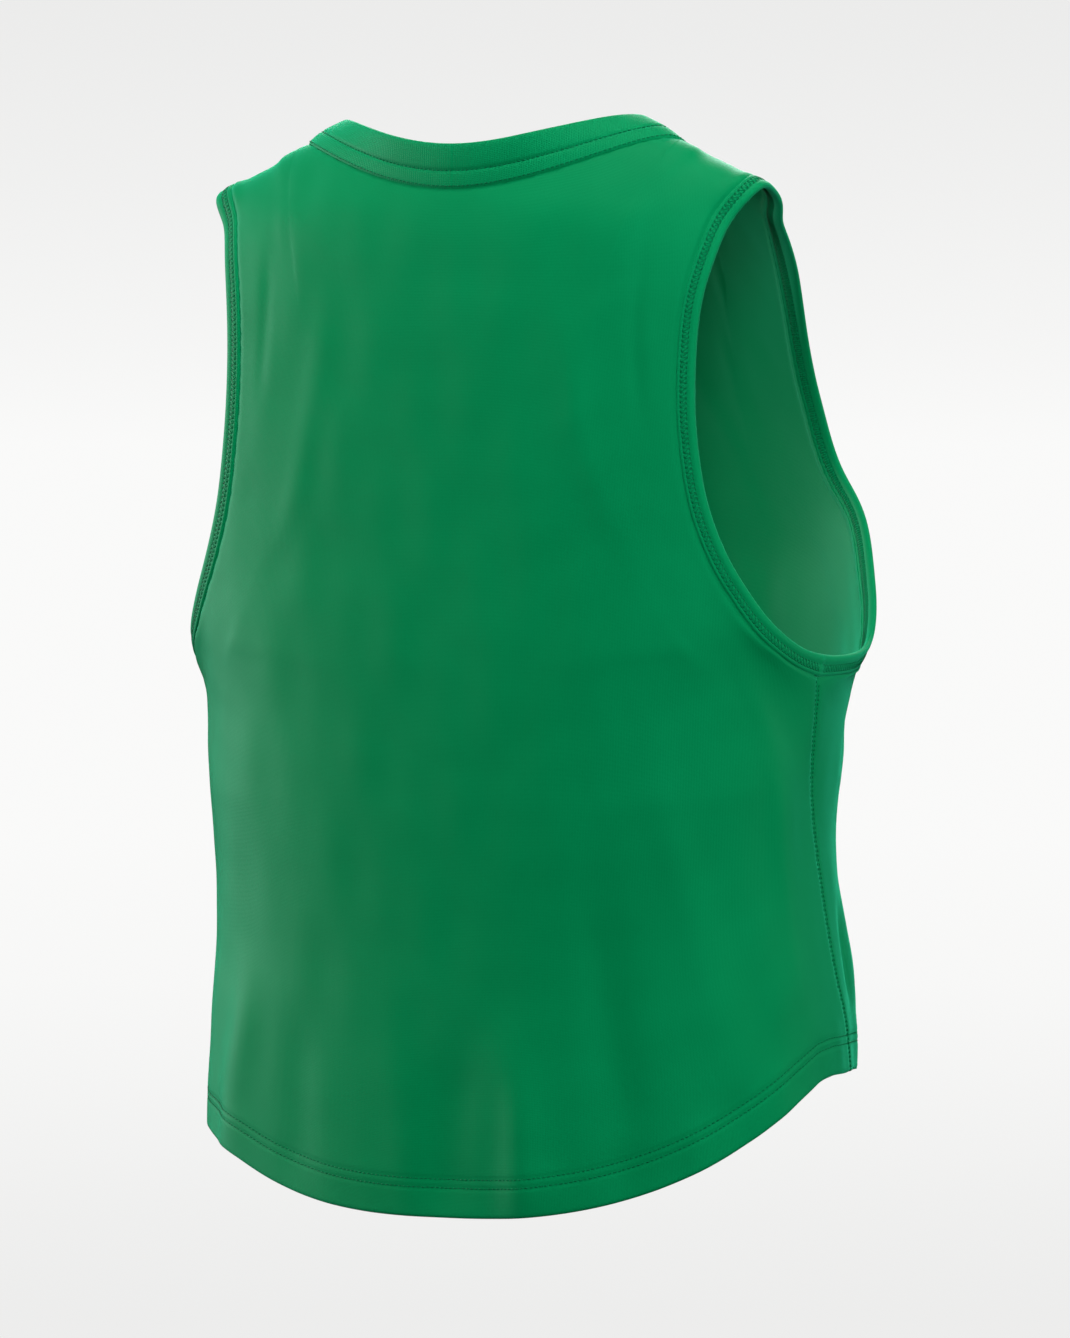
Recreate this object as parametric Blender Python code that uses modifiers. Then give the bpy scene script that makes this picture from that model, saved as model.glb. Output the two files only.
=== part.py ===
"""Crop tank top, filled out as if worn by a general figure that isn't there.

Five pieces of smooth athletic knit: a back panel and a front panel with their hems turned up, a folded
neckband, and a folded binding round each armhole. +Z is up, the front faces -Y and the wearer's left is +X.
The origin is the point between the shoulders, level with the neck seam where it crosses their ridges.

The cloth is one long strip that runs from the back hem, over the shoulders, to the front hem. The tables
give its rows, and a cubic joins them. Tables are in millimetres, of the outer face, for the wearer's left
half. Across a row, s is 0 on the centre line and 1 at the side seam or armhole seam; along the strip, v is
the distance from the back hem.
"""
import math

import bmesh
import bpy
import numpy as np

COLLECTION = "crop_tank_top"
PANEL_GREEN = (0.002, 0.185, 0.062)
TRIM_GREEN = (0.004, 0.205, 0.075)
MM = 0.001

# ---- cloth
PANEL_WALL = 1.6            # the knit of the two panels
HEM_WALL = 2.6              # the hem, which is turned up once
TRIM_WALL = 2.8             # neckband and bindings: folded cloth
TRIM_RAISE = 0.6            # how far the trims stand out from the panels' outer face
SEAM_GAP = 0.3              # between two pieces where they are sewn together
LEFT_SAG = 23.0             # how much lower the left side hangs at the hem,
BACK_SAG_START = 0.42       # from this s of the back,
BACK_SAG_REACH = 0.36       # and in full this much further round
FRONT_SAG_START = 0.05
FRONT_SAG_REACH = 0.85

# ---- the tube of the body, from the hem to the underarm
# Each ring is a squarish oval: half_width across, with back_y and front_y on its centre lines, and widest at
# widest_y. side_z, back_z and front_z are its heights and seam_y is where the side seam lies on it. It leaves
# its height at the centre as a power of s, rise, but for the share of it that sweeps up as the hem does.
# steps is how many rows of faces there are to the next one.
RING_COLUMNS = ("side_z", "back_z", "front_z", "half_width", "widest_y", "back_y", "front_y", "seam_y",
                "back_square", "front_square", "rise", "sweep", "steps")
RINGS = (
    (-467, -538, -482, 173.5, -37, 59, -146, -59, 2.3, 2.2, 2.2, 1.0, 1),   # edge of the hem
    (-447, -518, -462, 173, -37, 59, -146, -54, 2.3, 2.2, 2.2, 1.0, 2),     # top of the hem
    (-414, -464, -424, 170, -35, 59, -144, -43, 2.3, 2.2, 2.2, 1.0, 2),
    (-378, -410, -392, 166.5, -33, 59, -143, -36, 2.3, 2.2, 2.2, 0.5, 3),   # waist
    (-323, -348, -342, 165.5, -31, 61, -145, -25, 2.4, 2.2, 2.8, 0.0, 3),
    (-269, -292, -292, 174.5, -33, 63, -158, -15, 2.5, 2.2, 3.2, 0.0, 3),   # underarm
)
SWEEP_REACH = 0.885         # s at which the hem's sweep is over
SWEEP_POWER = 1.35

# ---- the cloth above the underarm
# edge_x and edge_z are where the armhole seam lies. Near the neck the row's centre is cut away.
ROW_COLUMNS = ("edge_x", "edge_z", "centre_z", "half_width", "widest_y", "centre_y", "square", "rise",
               "steps")
BACK_ROWS = (
    (170.5, -264, -284, 175.5, -33, 63, 2.5, 3.2, 3),
    (163, -253, -271, 178, -32, 63, 2.5, 3.0, 4),
    (146, -225, -243, 179, -32, 63, 2.5, 2.8, 3),
    (133, -195, -210, 179, -32, 62, 2.5, 2.6, 2),
    (124.5, -150, -163, 178, -32, 61, 2.5, 2.4, 2),
    (123, -115, -124, 177, -32, 59, 2.5, 2.2, 2),
    (126, -75, -76, 174, -28, 55, 2.5, 1.8, 3),
    (134.3, -40, -26, 165, -22, 45, 2.5, 1.4, 3),
    (145, -20, 30, 200, -12, 3, 2.0, 1.2, 1),                # ridge of the shoulder
)
SHOULDER_SEAM = ((142.5, -23, 27, 200, -24, -9, 2.0, 1.2, 2),)
FRONT_ROWS = (
    (136, -34, 12, 165, -18, -40, 2.4, 1.2, 2),
    (128, -46, -8, 163, -22, -68, 2.4, 1.4, 3),
    (119, -80, -66, 172, -27, -106, 2.4, 1.7, 3),
    (114, -130, -132, 177, -30, -142, 2.4, 2.0, 3),
    (124, -172, -184, 179, -32, -160, 2.4, 2.2, 2),
    (137, -190, -207, 180, -32, -165, 2.4, 2.4, 3),
    (154, -231, -249, 180, -32, -164, 2.3, 2.8, 5),
    (169, -263, -282, 176, -33, -160, 2.2, 3.2, 5),
)

# ---- neckline
NECK_SHARE = 0.69           # s of the neck seam where it crosses the shoulder
NECK_BACK_Z = -25.5         # neck seam on the centre lines
NECK_FRONT_Z = -100.0
NECK_BACK_ROUND = 1.7       # 2 is an oval neckline and less is more pointed
NECK_FRONT_ROUND = 1.9
NECK_CROWD = 1.5            # above 1 the panels' rows bend to the neckline only near it

# ---- soft folds
# Each runs from its head down to its foot. s is the share of the half row, positive on the wearer's left;
# out is how far it stands out, or in where negative, and spread is half its width.
FOLD_COLUMNS = ("panel", "head_s", "head_z", "foot_s", "foot_z", "out", "spread")
FOLDS = (
    ("back", -0.88, -236, -0.80, -400, 3.5, 11),       # ridge that hangs from the right underarm
    ("back", -0.95, -245, -0.92, -330, -3.0, 8),       # hollow between it and the side seam
    ("back", 0.88, -236, 0.80, -400, 3.0, 11),
    ("back", -0.15, -430, -0.13, -560, 3.5, 13),       # flutes that open towards the hem
    ("back", -0.05, -430, 0.02, -560, -2.5, 13),
    ("back", -0.36, -330, -0.30, -560, -2.5, 14),
    ("back", 0.47, -400, 0.50, -560, 3.0, 14),
    ("front", -0.80, -370, -0.86, -500, 2.5, 10),      # roll in front of the right side seam
    ("front", 0.80, -370, 0.86, -500, 2.5, 10),
    ("front", 0.30, -300, 0.24, -520, 3.0, 18),
    ("front", -0.22, -320, -0.30, -520, 3.0, 18),
)
HALF_ROW = 228.0            # about the length of a half row, which turns s into millimetres
FOLD_END = 0.4              # share of a fold's length over which it rises from nothing at each end
FOLD_MARGIN = 0.1           # s next to a side seam over which folds die away

# ---- trims
CREASE = 0.8                # from a trim's edge to where it stands out in full
EDGE_ROUND = 0.5            # how much lower it is at the edge itself
FOLD_TURNS = 4              # faces round the fold
BINDING_WIDTH = 9.4
# How far each binding turns out from the panel beside it, in degrees, at shares of the way from the underarm
# up the back, over the shoulder at 0.45 and down the front.
TURN_COLUMNS = ("share", "turn")
TURNS = (
    (0.00, 0),
    (0.25, 0),
    (0.45, 0),
    (0.55, 15),
    (0.65, 30),
    (0.88, 30),
    (1.00, 0),
)
BAND_LOWER = 8.8            # from the neck seam to the stitched groove
BAND_UPPER = 13.6           # from the groove to the fold
GROOVE_DEPTH = 0.6
GROOVE_HALF = 1.0
BAND_PUFF = 0.3             # how far the upper part swells
BAND_SETTLE = 1.5           # from the neck seam to where the band has its own lean
# How steeply the two parts of the band stand, in degrees, at shares of the way from centre back to front.
LEAN_COLUMNS = ("share", "lower", "upper")
LEANS = (
    (0.00, 88, 88),
    (0.12, 84, 86),
    (0.26, 62, 48),
    (0.36, 40, 14),
    (0.45, 26, 4),                                        # over the shoulder
    (0.60, 40, 30),
    (1.00, 62, 58),                                        # centre front
)

# ---- net
NECK_COLUMNS = 10           # face columns from the centre line to the neck seam
SHOULDER_COLUMNS = 7        # and from there to the armhole
EDGE_SHARE = 0.985          # a narrow last column and row keep the wall square to the cloth at a seam
EDGE_ROW = 3.0
NEAR = 0.001
CENTRE_SAMPLES = 600
STRIP_COLUMNS = ("edge_z", "centre_z", "half_width", "widest_y", "centre_y", "far_y", "turn", "inner_turn",
                 "square", "far_square", "rise", "sweep")
FAR_Y = STRIP_COLUMNS.index("far_y")
FAR_SQUARE = STRIP_COLUMNS.index("far_square")
CORNER_REACH = 5.0          # the higher, the nearer to the edge the underarm's corner stays


def column(table, columns, name):
    """One named column of a table."""
    return np.array([row[columns.index(name)] for row in table], float)


def smooth_step(t):
    """0 to 1, with soft ends."""
    t = np.clip(t, 0.0, 1.0)
    return t * t * (3.0 - 2.0 * t)


def angle_at_x(x, half_width, square):
    """Angle from the centre line at which a squarish oval reaches x."""
    return math.atan2(1.0, ((half_width / x) ** square - 1.0) ** (1.0 / square))


def angle_at_depth(y, depth, square):
    """Angle from the centre line at which a squarish oval is still y in front of its widest line."""
    return math.atan2(((depth / y) ** square - 1.0) ** (1.0 / square), 1.0)


def oval_rows():
    """The strip's rows, from the back hem to the front hem, with how far round its oval each one reaches.

    Their columns are STRIP_COLUMNS, where the far ones describe the oval past its widest line.
    """
    back = []
    front = []
    for row in RINGS:
        ring = dict(zip(RING_COLUMNS, row))
        depth = ring["widest_y"] - ring["front_y"]
        behind = ring["seam_y"] - ring["widest_y"]
        if behind > 0:
            turn = angle_at_depth(behind, ring["back_y"] - ring["widest_y"], ring["back_square"])
        else:
            turn = math.pi - angle_at_depth(-behind, depth, ring["front_square"])
        shared = (ring["half_width"], ring["widest_y"])
        back.append((ring["side_z"], ring["back_z"], *shared, ring["back_y"], ring["front_y"], turn, turn,
                     ring["back_square"], ring["front_square"], ring["rise"], ring["sweep"]))
        front.append((ring["side_z"], ring["front_z"], *shared, ring["front_y"], ring["back_y"],
                      math.pi - turn, math.pi - turn, ring["front_square"], ring["back_square"],
                      ring["rise"], ring["sweep"]))
    upper = []
    for beneath, table in ((back[-1], BACK_ROWS + SHOULDER_SEAM), (front[-1], FRONT_ROWS)):
        for values in table:
            row = dict(zip(ROW_COLUMNS, values))
            turn = angle_at_x(row["edge_x"], row["half_width"], row["square"])
            upper.append((row["edge_z"], row["centre_z"], row["half_width"], row["widest_y"], row["centre_y"],
                          beneath[FAR_Y], turn, turn, row["square"], beneath[FAR_SQUARE], row["rise"], 0.0))
    return np.array(back + upper + front[::-1])


def across(rows, s):
    """Points of the smooth cloth at s on rows of the strip."""
    (edge_z, centre_z, half_width, widest_y, centre_y, far_y, turn, inner_turn, square, far_square, rise,
     sweep) = np.moveaxis(rows, -1, 0)
    angle = np.abs(s) * inner_turn + np.abs(s) ** CORNER_REACH * (turn - inner_turn)
    past = angle > math.pi / 2
    depth = np.where(past, widest_y - far_y, centre_y - widest_y)
    power = np.where(past, far_square, square)
    sine = np.sin(angle)
    cosine = np.cos(angle)
    reach = (np.abs(sine) ** power + np.abs(cosine) ** power) ** (-1.0 / power)
    x = np.sign(s) * half_width * reach * sine
    y = widest_y + depth * reach * cosine
    swept = smooth_step((np.abs(s) / SWEEP_REACH) ** SWEEP_POWER)
    z = centre_z + (edge_z - centre_z) * ((1.0 - sweep) * np.abs(s) ** rise + sweep * swept)
    return np.stack([x, y, z], -1)


def strip_knots(rows):
    """v of each row: the mean of the ways along the edge and along the centre line.

    The rings are as far apart in front as behind, so that both panels have the same side seam.
    """
    ones = np.ones(len(rows))
    lengths = [np.linalg.norm(np.diff(across(rows, share), axis=0), axis=1) for share in (0.0 * ones, ones)]
    gaps = 0.5 * (lengths[0] + lengths[1])
    rings = len(RINGS) - 1
    gaps[-rings:] = gaps[:rings][::-1]
    return np.concatenate([[0.0], np.cumsum(gaps)])


def strip_slopes(knots, rows):
    """Slopes of the cubic that arrives at each row and of the one that leaves it.

    At the two underarm rows they are those of the rings beneath, so that both panels have the same side
    seam. The seam turns a corner there, so above them edge_z and turn set off at slopes of their own.
    """
    gap = np.diff(knots)[:, None]
    rate = np.diff(rows, axis=0) / gap
    between = (rate[:-1] * gap[1:] + rate[1:] * gap[:-1]) / (gap[:-1] + gap[1:])
    arriving = np.vstack([rate[:1], between, rate[-1:]])
    leaving = arriving.copy()
    corners = [STRIP_COLUMNS.index("edge_z"), STRIP_COLUMNS.index("turn")]
    behind = len(RINGS) - 1
    before = len(rows) - len(RINGS)
    arriving[behind] = rate[behind - 1]
    leaving[behind] = rate[behind - 1]
    leaving[behind, corners] = rate[behind, corners]
    leaving[before] = rate[before]
    arriving[before] = rate[before]
    arriving[before, corners] = rate[before - 1, corners]
    return arriving, leaving


ROWS = oval_rows()
KNOTS = strip_knots(ROWS)
ARRIVING, LEAVING = strip_slopes(KNOTS, ROWS)
SEAM_V = KNOTS[len(RINGS) + len(BACK_ROWS)]
BACK_UNDERARM_V = KNOTS[len(RINGS) - 1]
FRONT_UNDERARM_V = KNOTS[len(KNOTS) - len(RINGS)]


def rows_at(v):
    """Rows of the strip at any v, on cubics through the rows of the tables."""
    i = np.clip(np.searchsorted(KNOTS, v, side="right") - 1, 0, len(KNOTS) - 2)
    gap = (KNOTS[i + 1] - KNOTS[i])[..., None]
    t = (v - KNOTS[i])[..., None] / gap
    start = (1 + 2 * t) * (1 - t) ** 2 * ROWS[i] + t * (1 - t) ** 2 * gap * LEAVING[i]
    end = t * t * (3 - 2 * t) * ROWS[i + 1] + t * t * (t - 1) * gap * ARRIVING[i + 1]
    return start + end


def plain_cloth(s, v):
    """Points of the cloth without its folds, and with the left side's sag."""
    s, v = np.broadcast_arrays(np.asarray(s, float), np.asarray(v, float))
    points = across(rows_at(v), s)
    underarm_z = RINGS[-1][0]
    hem_z = RINGS[0][0]
    low = smooth_step((underarm_z - points[..., 2]) / (underarm_z - hem_z))
    left = np.where(v <= SEAM_V, smooth_step((s - BACK_SAG_START) / BACK_SAG_REACH),
                    smooth_step((s - FRONT_SAG_START) / FRONT_SAG_REACH))
    points[..., 2] -= LEFT_SAG * low * left
    return points


def outward(s, v):
    """Unit normals of the cloth's outer face."""
    s, v = np.broadcast_arrays(np.asarray(s, float), np.asarray(v, float))
    step = 1.0
    along = plain_cloth(s, np.minimum(v + step, KNOTS[-1])) - plain_cloth(s, np.maximum(v - step, 0.0))
    share = 0.004
    sideways = plain_cloth(np.minimum(s + share, 1.0), v) - plain_cloth(np.maximum(s - share, -1.0), v)
    normal = np.cross(along, sideways)
    return normal / np.linalg.norm(normal, axis=-1, keepdims=True)


def cloth(s, v):
    """Points of the outer face, folds and all."""
    s, v = np.broadcast_arrays(np.asarray(s, float), np.asarray(v, float))
    points = plain_cloth(s, v)
    height = np.zeros(s.shape)
    for values in FOLDS:
        fold = dict(zip(FOLD_COLUMNS, values))
        on_panel = (v <= SEAM_V) == (fold["panel"] == "back")
        share = (fold["head_z"] - points[..., 2]) / (fold["head_z"] - fold["foot_z"])
        line = fold["head_s"] + (fold["foot_s"] - fold["head_s"]) * share
        beside = (s - line) * HALF_ROW / fold["spread"]
        ends = smooth_step(share / FOLD_END) * smooth_step((1.0 - share) / FOLD_END)
        height += np.where(on_panel, fold["out"] * np.exp(-beside ** 2) * ends, 0.0)
    edge = smooth_step((1.0 - np.abs(s)) / FOLD_MARGIN)
    return points + outward(s, v) * (height * edge)[..., None]


def centre_v(height, side):
    """v at which the centre line of the back or the front has a height."""
    low, high = (BACK_UNDERARM_V, SEAM_V) if side == "back" else (SEAM_V, FRONT_UNDERARM_V)
    v = np.linspace(low, high, CENTRE_SAMPLES)
    z = plain_cloth(0.0, v)[:, 2]
    order = np.argsort(z)
    return float(np.interp(height, z[order], v[order]))


def neck_curve(side, angles):
    """s and v of the neck seam of one half; angles go from 0 on the centre line to 90 degrees at the seam."""
    height, power = (NECK_BACK_Z, NECK_BACK_ROUND) if side == "back" else (NECK_FRONT_Z, NECK_FRONT_ROUND)
    start = centre_v(height, side)
    s = NECK_SHARE * np.sin(angles) ** (2.0 / power)
    return s, start + (SEAM_V - start) * (1.0 - np.cos(angles))


def panel_levels(side):
    """v of the panel's rows of points at its edges, from the hem to the shoulder seam."""
    steps = [int(n) for n in column(RINGS, RING_COLUMNS, "steps")]
    steps += [int(n) for n in column(BACK_ROWS + SHOULDER_SEAM, ROW_COLUMNS, "steps")]
    steps += [int(n) for n in column(FRONT_ROWS, ROW_COLUMNS, "steps")]
    steps += [int(n) for n in column(RINGS, RING_COLUMNS, "steps")[:-1][::-1]]
    levels = [0.0]
    for i in range(len(KNOTS) - 1):
        levels += list(np.linspace(KNOTS[i], KNOTS[i + 1], steps[i] + 1)[1:])
    levels = np.array(sorted(levels + [SEAM_V - EDGE_ROW, SEAM_V + EDGE_ROW]))
    if side == "back":
        return levels[levels <= SEAM_V + NEAR]
    return levels[levels >= SEAM_V - NEAR][::-1]


def panel_net(side):
    """s and v of a panel's points: rows from the hem up, columns from the wearer's right to the left."""
    levels = panel_levels(side)
    angles = np.linspace(0.0, math.pi / 2, NECK_COLUMNS + 1)
    neck_s, neck_v = neck_curve(side, angles)
    shoulder_s = np.linspace(NECK_SHARE, 1.0, SHOULDER_COLUMNS + 1)[1:]
    top_s = np.concatenate([neck_s, shoulder_s[:-1], [EDGE_SHARE, 1.0]])
    top_v = np.concatenate([neck_v, np.full(SHOULDER_COLUMNS + 1, SEAM_V)])
    foot_s = np.concatenate([np.linspace(0.0, 1.0, len(top_s) - 1)[:-1], [EDGE_SHARE, 1.0]])
    underarm = BACK_UNDERARM_V if side == "back" else FRONT_UNDERARM_V
    share = np.clip((levels - underarm) / (SEAM_V - underarm), 0.0, 1.0)
    drift = smooth_step(share)[:, None]
    s = foot_s + (top_s - foot_s) * drift
    v = levels[:, None] + (top_v - SEAM_V) * (share ** NECK_CROWD)[:, None]
    return np.hstack([-s[:, :0:-1], s]), np.hstack([v[:, :0:-1], v])


def drawn_back(points, gap):
    """The same net with its side and top edges pulled in by a gap."""
    moved = points.copy()
    for edge, inner in ((np.s_[:, 0], np.s_[:, 1]), (np.s_[:, -1], np.s_[:, -2]), (np.s_[-1], np.s_[-2])):
        way = points[inner] - points[edge]
        moved[edge] += gap * way / np.linalg.norm(way, axis=-1, keepdims=True)
    return moved


def new_object(name, vertices, faces):
    """A mesh object in the garment's collection, smooth and in metres."""
    mesh = bpy.data.meshes.new(name)
    mesh.from_pydata((np.asarray(vertices) * MM).tolist(), [], faces)
    mesh.update()
    mesh.shade_smooth()
    made = bpy.data.objects.new(name, mesh)
    bpy.data.collections[COLLECTION].objects.link(made)
    return made


def build_panel(name, side):
    """One panel: a net of the cloth's outer face, thickened inwards, more so at the hem."""
    s, v = panel_net(side)
    points = drawn_back(cloth(s, v), SEAM_GAP / 2)
    rows, columns = s.shape
    index = np.arange(rows * columns).reshape(rows, columns)
    corners = (index[:-1, :-1], index[1:, :-1], index[1:, 1:], index[:-1, 1:])
    if side == "front":
        corners = corners[::-1]
    faces = np.stack(corners, -1).reshape(-1, 4).tolist()
    panel = new_object(name, points.reshape(-1, 3), faces)
    hem = panel.vertex_groups.new(name="hem")
    hem.add(index[:2].ravel().tolist(), 1.0, "REPLACE")
    wall = panel.modifiers.new("Cloth", "SOLIDIFY")
    wall.thickness = HEM_WALL * MM
    wall.offset = -1.0
    wall.vertex_group = "hem"
    wall.thickness_vertex_group = PANEL_WALL / HEM_WALL
    wall.use_quality_normals = True
    return panel


def loop_object(name, sections):
    """A closed tube through a closed loop of alike sections."""
    count, corners = sections.shape[:2]
    index = np.arange(count * corners).reshape(count, corners)
    following = np.roll(index, -1, axis=0)
    faces = np.stack((index, following, np.roll(following, -1, axis=1), np.roll(index, -1, axis=1)), -1)
    made = new_object(name, sections.reshape(-1, 3), faces.reshape(-1, 4).tolist())
    mesh = bmesh.new()
    mesh.from_mesh(made.data)
    bmesh.ops.recalc_face_normals(mesh, faces=mesh.faces)
    mesh.to_mesh(made.data)
    mesh.free()
    return made


def unit(vectors):
    """Vectors of length 1."""
    return vectors / np.linalg.norm(vectors, axis=-1, keepdims=True)


def half_round(radius):
    """Points round a fold, from its outer face to its inner one, as distances past and off its middle."""
    turns = np.linspace(math.pi / 2, -math.pi / 2, FOLD_TURNS + 1)
    return [(radius * math.cos(turn), radius * math.sin(turn)) for turn in turns]


def build_binding(name, hand):
    """The folded strip round one armhole; hand is 1 for the wearer's left and -1 for the right."""
    behind = panel_levels("back")
    before = panel_levels("front")[::-1]
    up_back = behind[behind > BACK_UNDERARM_V - NEAR]
    down_front = before[(before > SEAM_V + NEAR) & (before < FRONT_UNDERARM_V - NEAR)]
    v = np.concatenate([up_back, down_front])
    seam = cloth(float(hand), v)
    normal = outward(float(hand), v)
    tangent = unit(np.roll(seam, -1, axis=0) - np.roll(seam, 1, axis=0))
    out = hand * unit(np.cross(normal, tangent))
    travelled = np.concatenate([[0.0], np.cumsum(np.linalg.norm(np.diff(seam, axis=0), axis=1))])
    turn = np.radians(np.interp(travelled / travelled[-1], column(TURNS, TURN_COLUMNS, "share"),
                                column(TURNS, TURN_COLUMNS, "turn")))[:, None]
    out, normal = out * np.cos(turn) + normal * np.sin(turn), normal * np.cos(turn) - out * np.sin(turn)
    start = SEAM_GAP / 2
    radius = TRIM_WALL / 2
    middle = TRIM_RAISE - radius
    corners = [(start, TRIM_RAISE - EDGE_ROUND), (start + CREASE, TRIM_RAISE)]
    for across_fold, off_fold in half_round(radius):
        corners.append((BINDING_WIDTH - radius + across_fold, middle + off_fold))
    corners += [(start + CREASE, TRIM_RAISE - TRIM_WALL), (start, TRIM_RAISE - TRIM_WALL + EDGE_ROUND)]
    sections = np.stack([seam + out * a + normal * b for a, b in corners], axis=1)
    return loop_object(name, sections)


def neck_loop():
    """s and v round the neck seam at the panels' points, from centre back over the left shoulder."""
    angles = np.linspace(0.0, math.pi / 2, NECK_COLUMNS + 1)
    back_s, back_v = neck_curve("back", angles)
    front_s, front_v = neck_curve("front", angles)
    s = np.concatenate([back_s, front_s[-2::-1]])
    v = np.concatenate([back_v, front_v[-2::-1]])
    return np.concatenate([s, -s[-2:0:-1]]), np.concatenate([v, v[-2:0:-1]])


def build_neckband():
    """The folded band, which stands up from the neck seam in two parts with a stitched groove between."""
    s, v = neck_loop()
    seam = cloth(s, v)
    tangent = unit(np.roll(seam, -1, axis=0) - np.roll(seam, 1, axis=0))
    level = tangent * (1.0, 1.0, 0.0)
    inward = unit(np.stack([level[:, 1], -level[:, 0], 0.0 * level[:, 0]], -1))
    normal = outward(s, v)
    out = unit(np.cross(tangent, normal))
    travelled = np.concatenate([[0.0], np.cumsum(np.linalg.norm(np.diff(seam, axis=0), axis=1))])
    share = travelled / travelled[len(seam) // 2]
    share = np.where(share > 1.0, 2.0 - share, share)
    up = np.array((0.0, 0.0, 1.0))
    ways = []
    for part in ("lower", "upper"):
        lean = np.radians(np.interp(share, column(LEANS, LEAN_COLUMNS, "share"),
                                    column(LEANS, LEAN_COLUMNS, part)))[:, None]
        ways.append(inward * np.cos(lean) + up * np.sin(lean))
    lower, upper = ways
    faces_out = [unit(np.cross(way, tangent)) for way in ways]
    mean_out = unit(faces_out[0] + faces_out[1])
    start = seam + out * (SEAM_GAP / 2)
    groove = seam + lower * BAND_LOWER
    rim = groove + upper * BAND_UPPER
    raised, inner = TRIM_RAISE, TRIM_RAISE - TRIM_WALL
    radius = TRIM_WALL / 2
    corners = [
        start + normal * (raised - EDGE_ROUND),
        start + lower * BAND_SETTLE + faces_out[0] * raised,
        groove - lower * GROOVE_HALF + mean_out * raised,
        groove + mean_out * (raised - GROOVE_DEPTH),
        groove + upper * GROOVE_HALF + mean_out * raised,
        groove + upper * (BAND_UPPER / 2) + faces_out[1] * (raised + BAND_PUFF),
    ]
    centre = rim - upper * radius + faces_out[1] * (raised - radius)
    corners += [centre + upper * past + faces_out[1] * off for past, off in half_round(radius)]
    corners += [
        groove + mean_out * inner,
        start + lower * BAND_SETTLE + faces_out[0] * inner,
        start + normal * (inner + EDGE_ROUND),
    ]
    return loop_object("neckband", np.stack(corners, axis=1))


def knit_material(name, colour, roughness):
    """A plain green knit."""
    material = bpy.data.materials.new(name)
    material.use_nodes = True
    shader = material.node_tree.nodes["Principled BSDF"]
    shader.inputs["Base Color"].default_value = (*colour, 1.0)
    shader.inputs["Roughness"].default_value = roughness
    shader.inputs["Metallic"].default_value = 0.0
    return material


def main():
    """Clear the scene and build the five pieces."""
    for old in list(bpy.data.objects):
        bpy.data.objects.remove(old)
    garment = bpy.data.collections.new(COLLECTION)
    bpy.context.scene.collection.children.link(garment)
    pieces = (
        (build_panel("back_panel", "back"), "back_knit", PANEL_GREEN, 0.62),
        (build_panel("front_panel", "front"), "front_knit", PANEL_GREEN, 0.62),
        (build_neckband(), "neckband_knit", TRIM_GREEN, 0.66),
        (build_binding("armhole_binding_left", 1), "left_binding_knit", TRIM_GREEN, 0.66),
        (build_binding("armhole_binding_right", -1), "right_binding_knit", TRIM_GREEN, 0.66),
    )
    for piece, name, colour, roughness in pieces:
        piece.data.materials.append(knit_material(name, colour, roughness))


main()
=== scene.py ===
"""How the crop tank top looks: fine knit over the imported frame, its trims and stitches, light and camera.

The cloth is worked out as the frame's is, from the same tables in millimetres of the outer face, on a finer
net and with softer creases. Across a row, s is 0 on the centre line and 1 at the side seam or armhole seam;
along the strip from the back hem over the shoulders to the front hem, v is the distance.
"""
import math

import bpy
import numpy as np
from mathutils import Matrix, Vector


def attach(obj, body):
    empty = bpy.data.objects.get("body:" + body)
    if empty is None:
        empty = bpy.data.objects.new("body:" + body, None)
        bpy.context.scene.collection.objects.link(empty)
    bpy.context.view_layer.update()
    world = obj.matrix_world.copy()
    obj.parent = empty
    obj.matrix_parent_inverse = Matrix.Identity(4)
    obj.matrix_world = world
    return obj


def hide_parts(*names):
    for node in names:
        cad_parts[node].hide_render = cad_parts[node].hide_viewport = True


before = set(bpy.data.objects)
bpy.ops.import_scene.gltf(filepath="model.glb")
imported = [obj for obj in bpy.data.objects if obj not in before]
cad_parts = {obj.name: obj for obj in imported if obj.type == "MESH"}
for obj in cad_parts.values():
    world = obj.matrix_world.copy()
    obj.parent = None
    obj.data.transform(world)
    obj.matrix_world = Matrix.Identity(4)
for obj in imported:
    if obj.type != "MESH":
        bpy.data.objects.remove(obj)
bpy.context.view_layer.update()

MM = 0.001

# ---- cloth
TRIM_WALL = 2.8  # neckband and bindings: folded cloth
TRIM_RAISE = 0.6  # how far the trims stand out from the panels' outer face
SEAM_GAP = 0.3  # between two pieces where they are sewn together
LEFT_SAG = 23.0  # how much lower the left side hangs at the hem,
BACK_SAG_START = 0.42  # from this s of the back,
BACK_SAG_REACH = 0.36  # and in full this much further round
FRONT_SAG_START = 0.05
FRONT_SAG_REACH = 0.85

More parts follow.
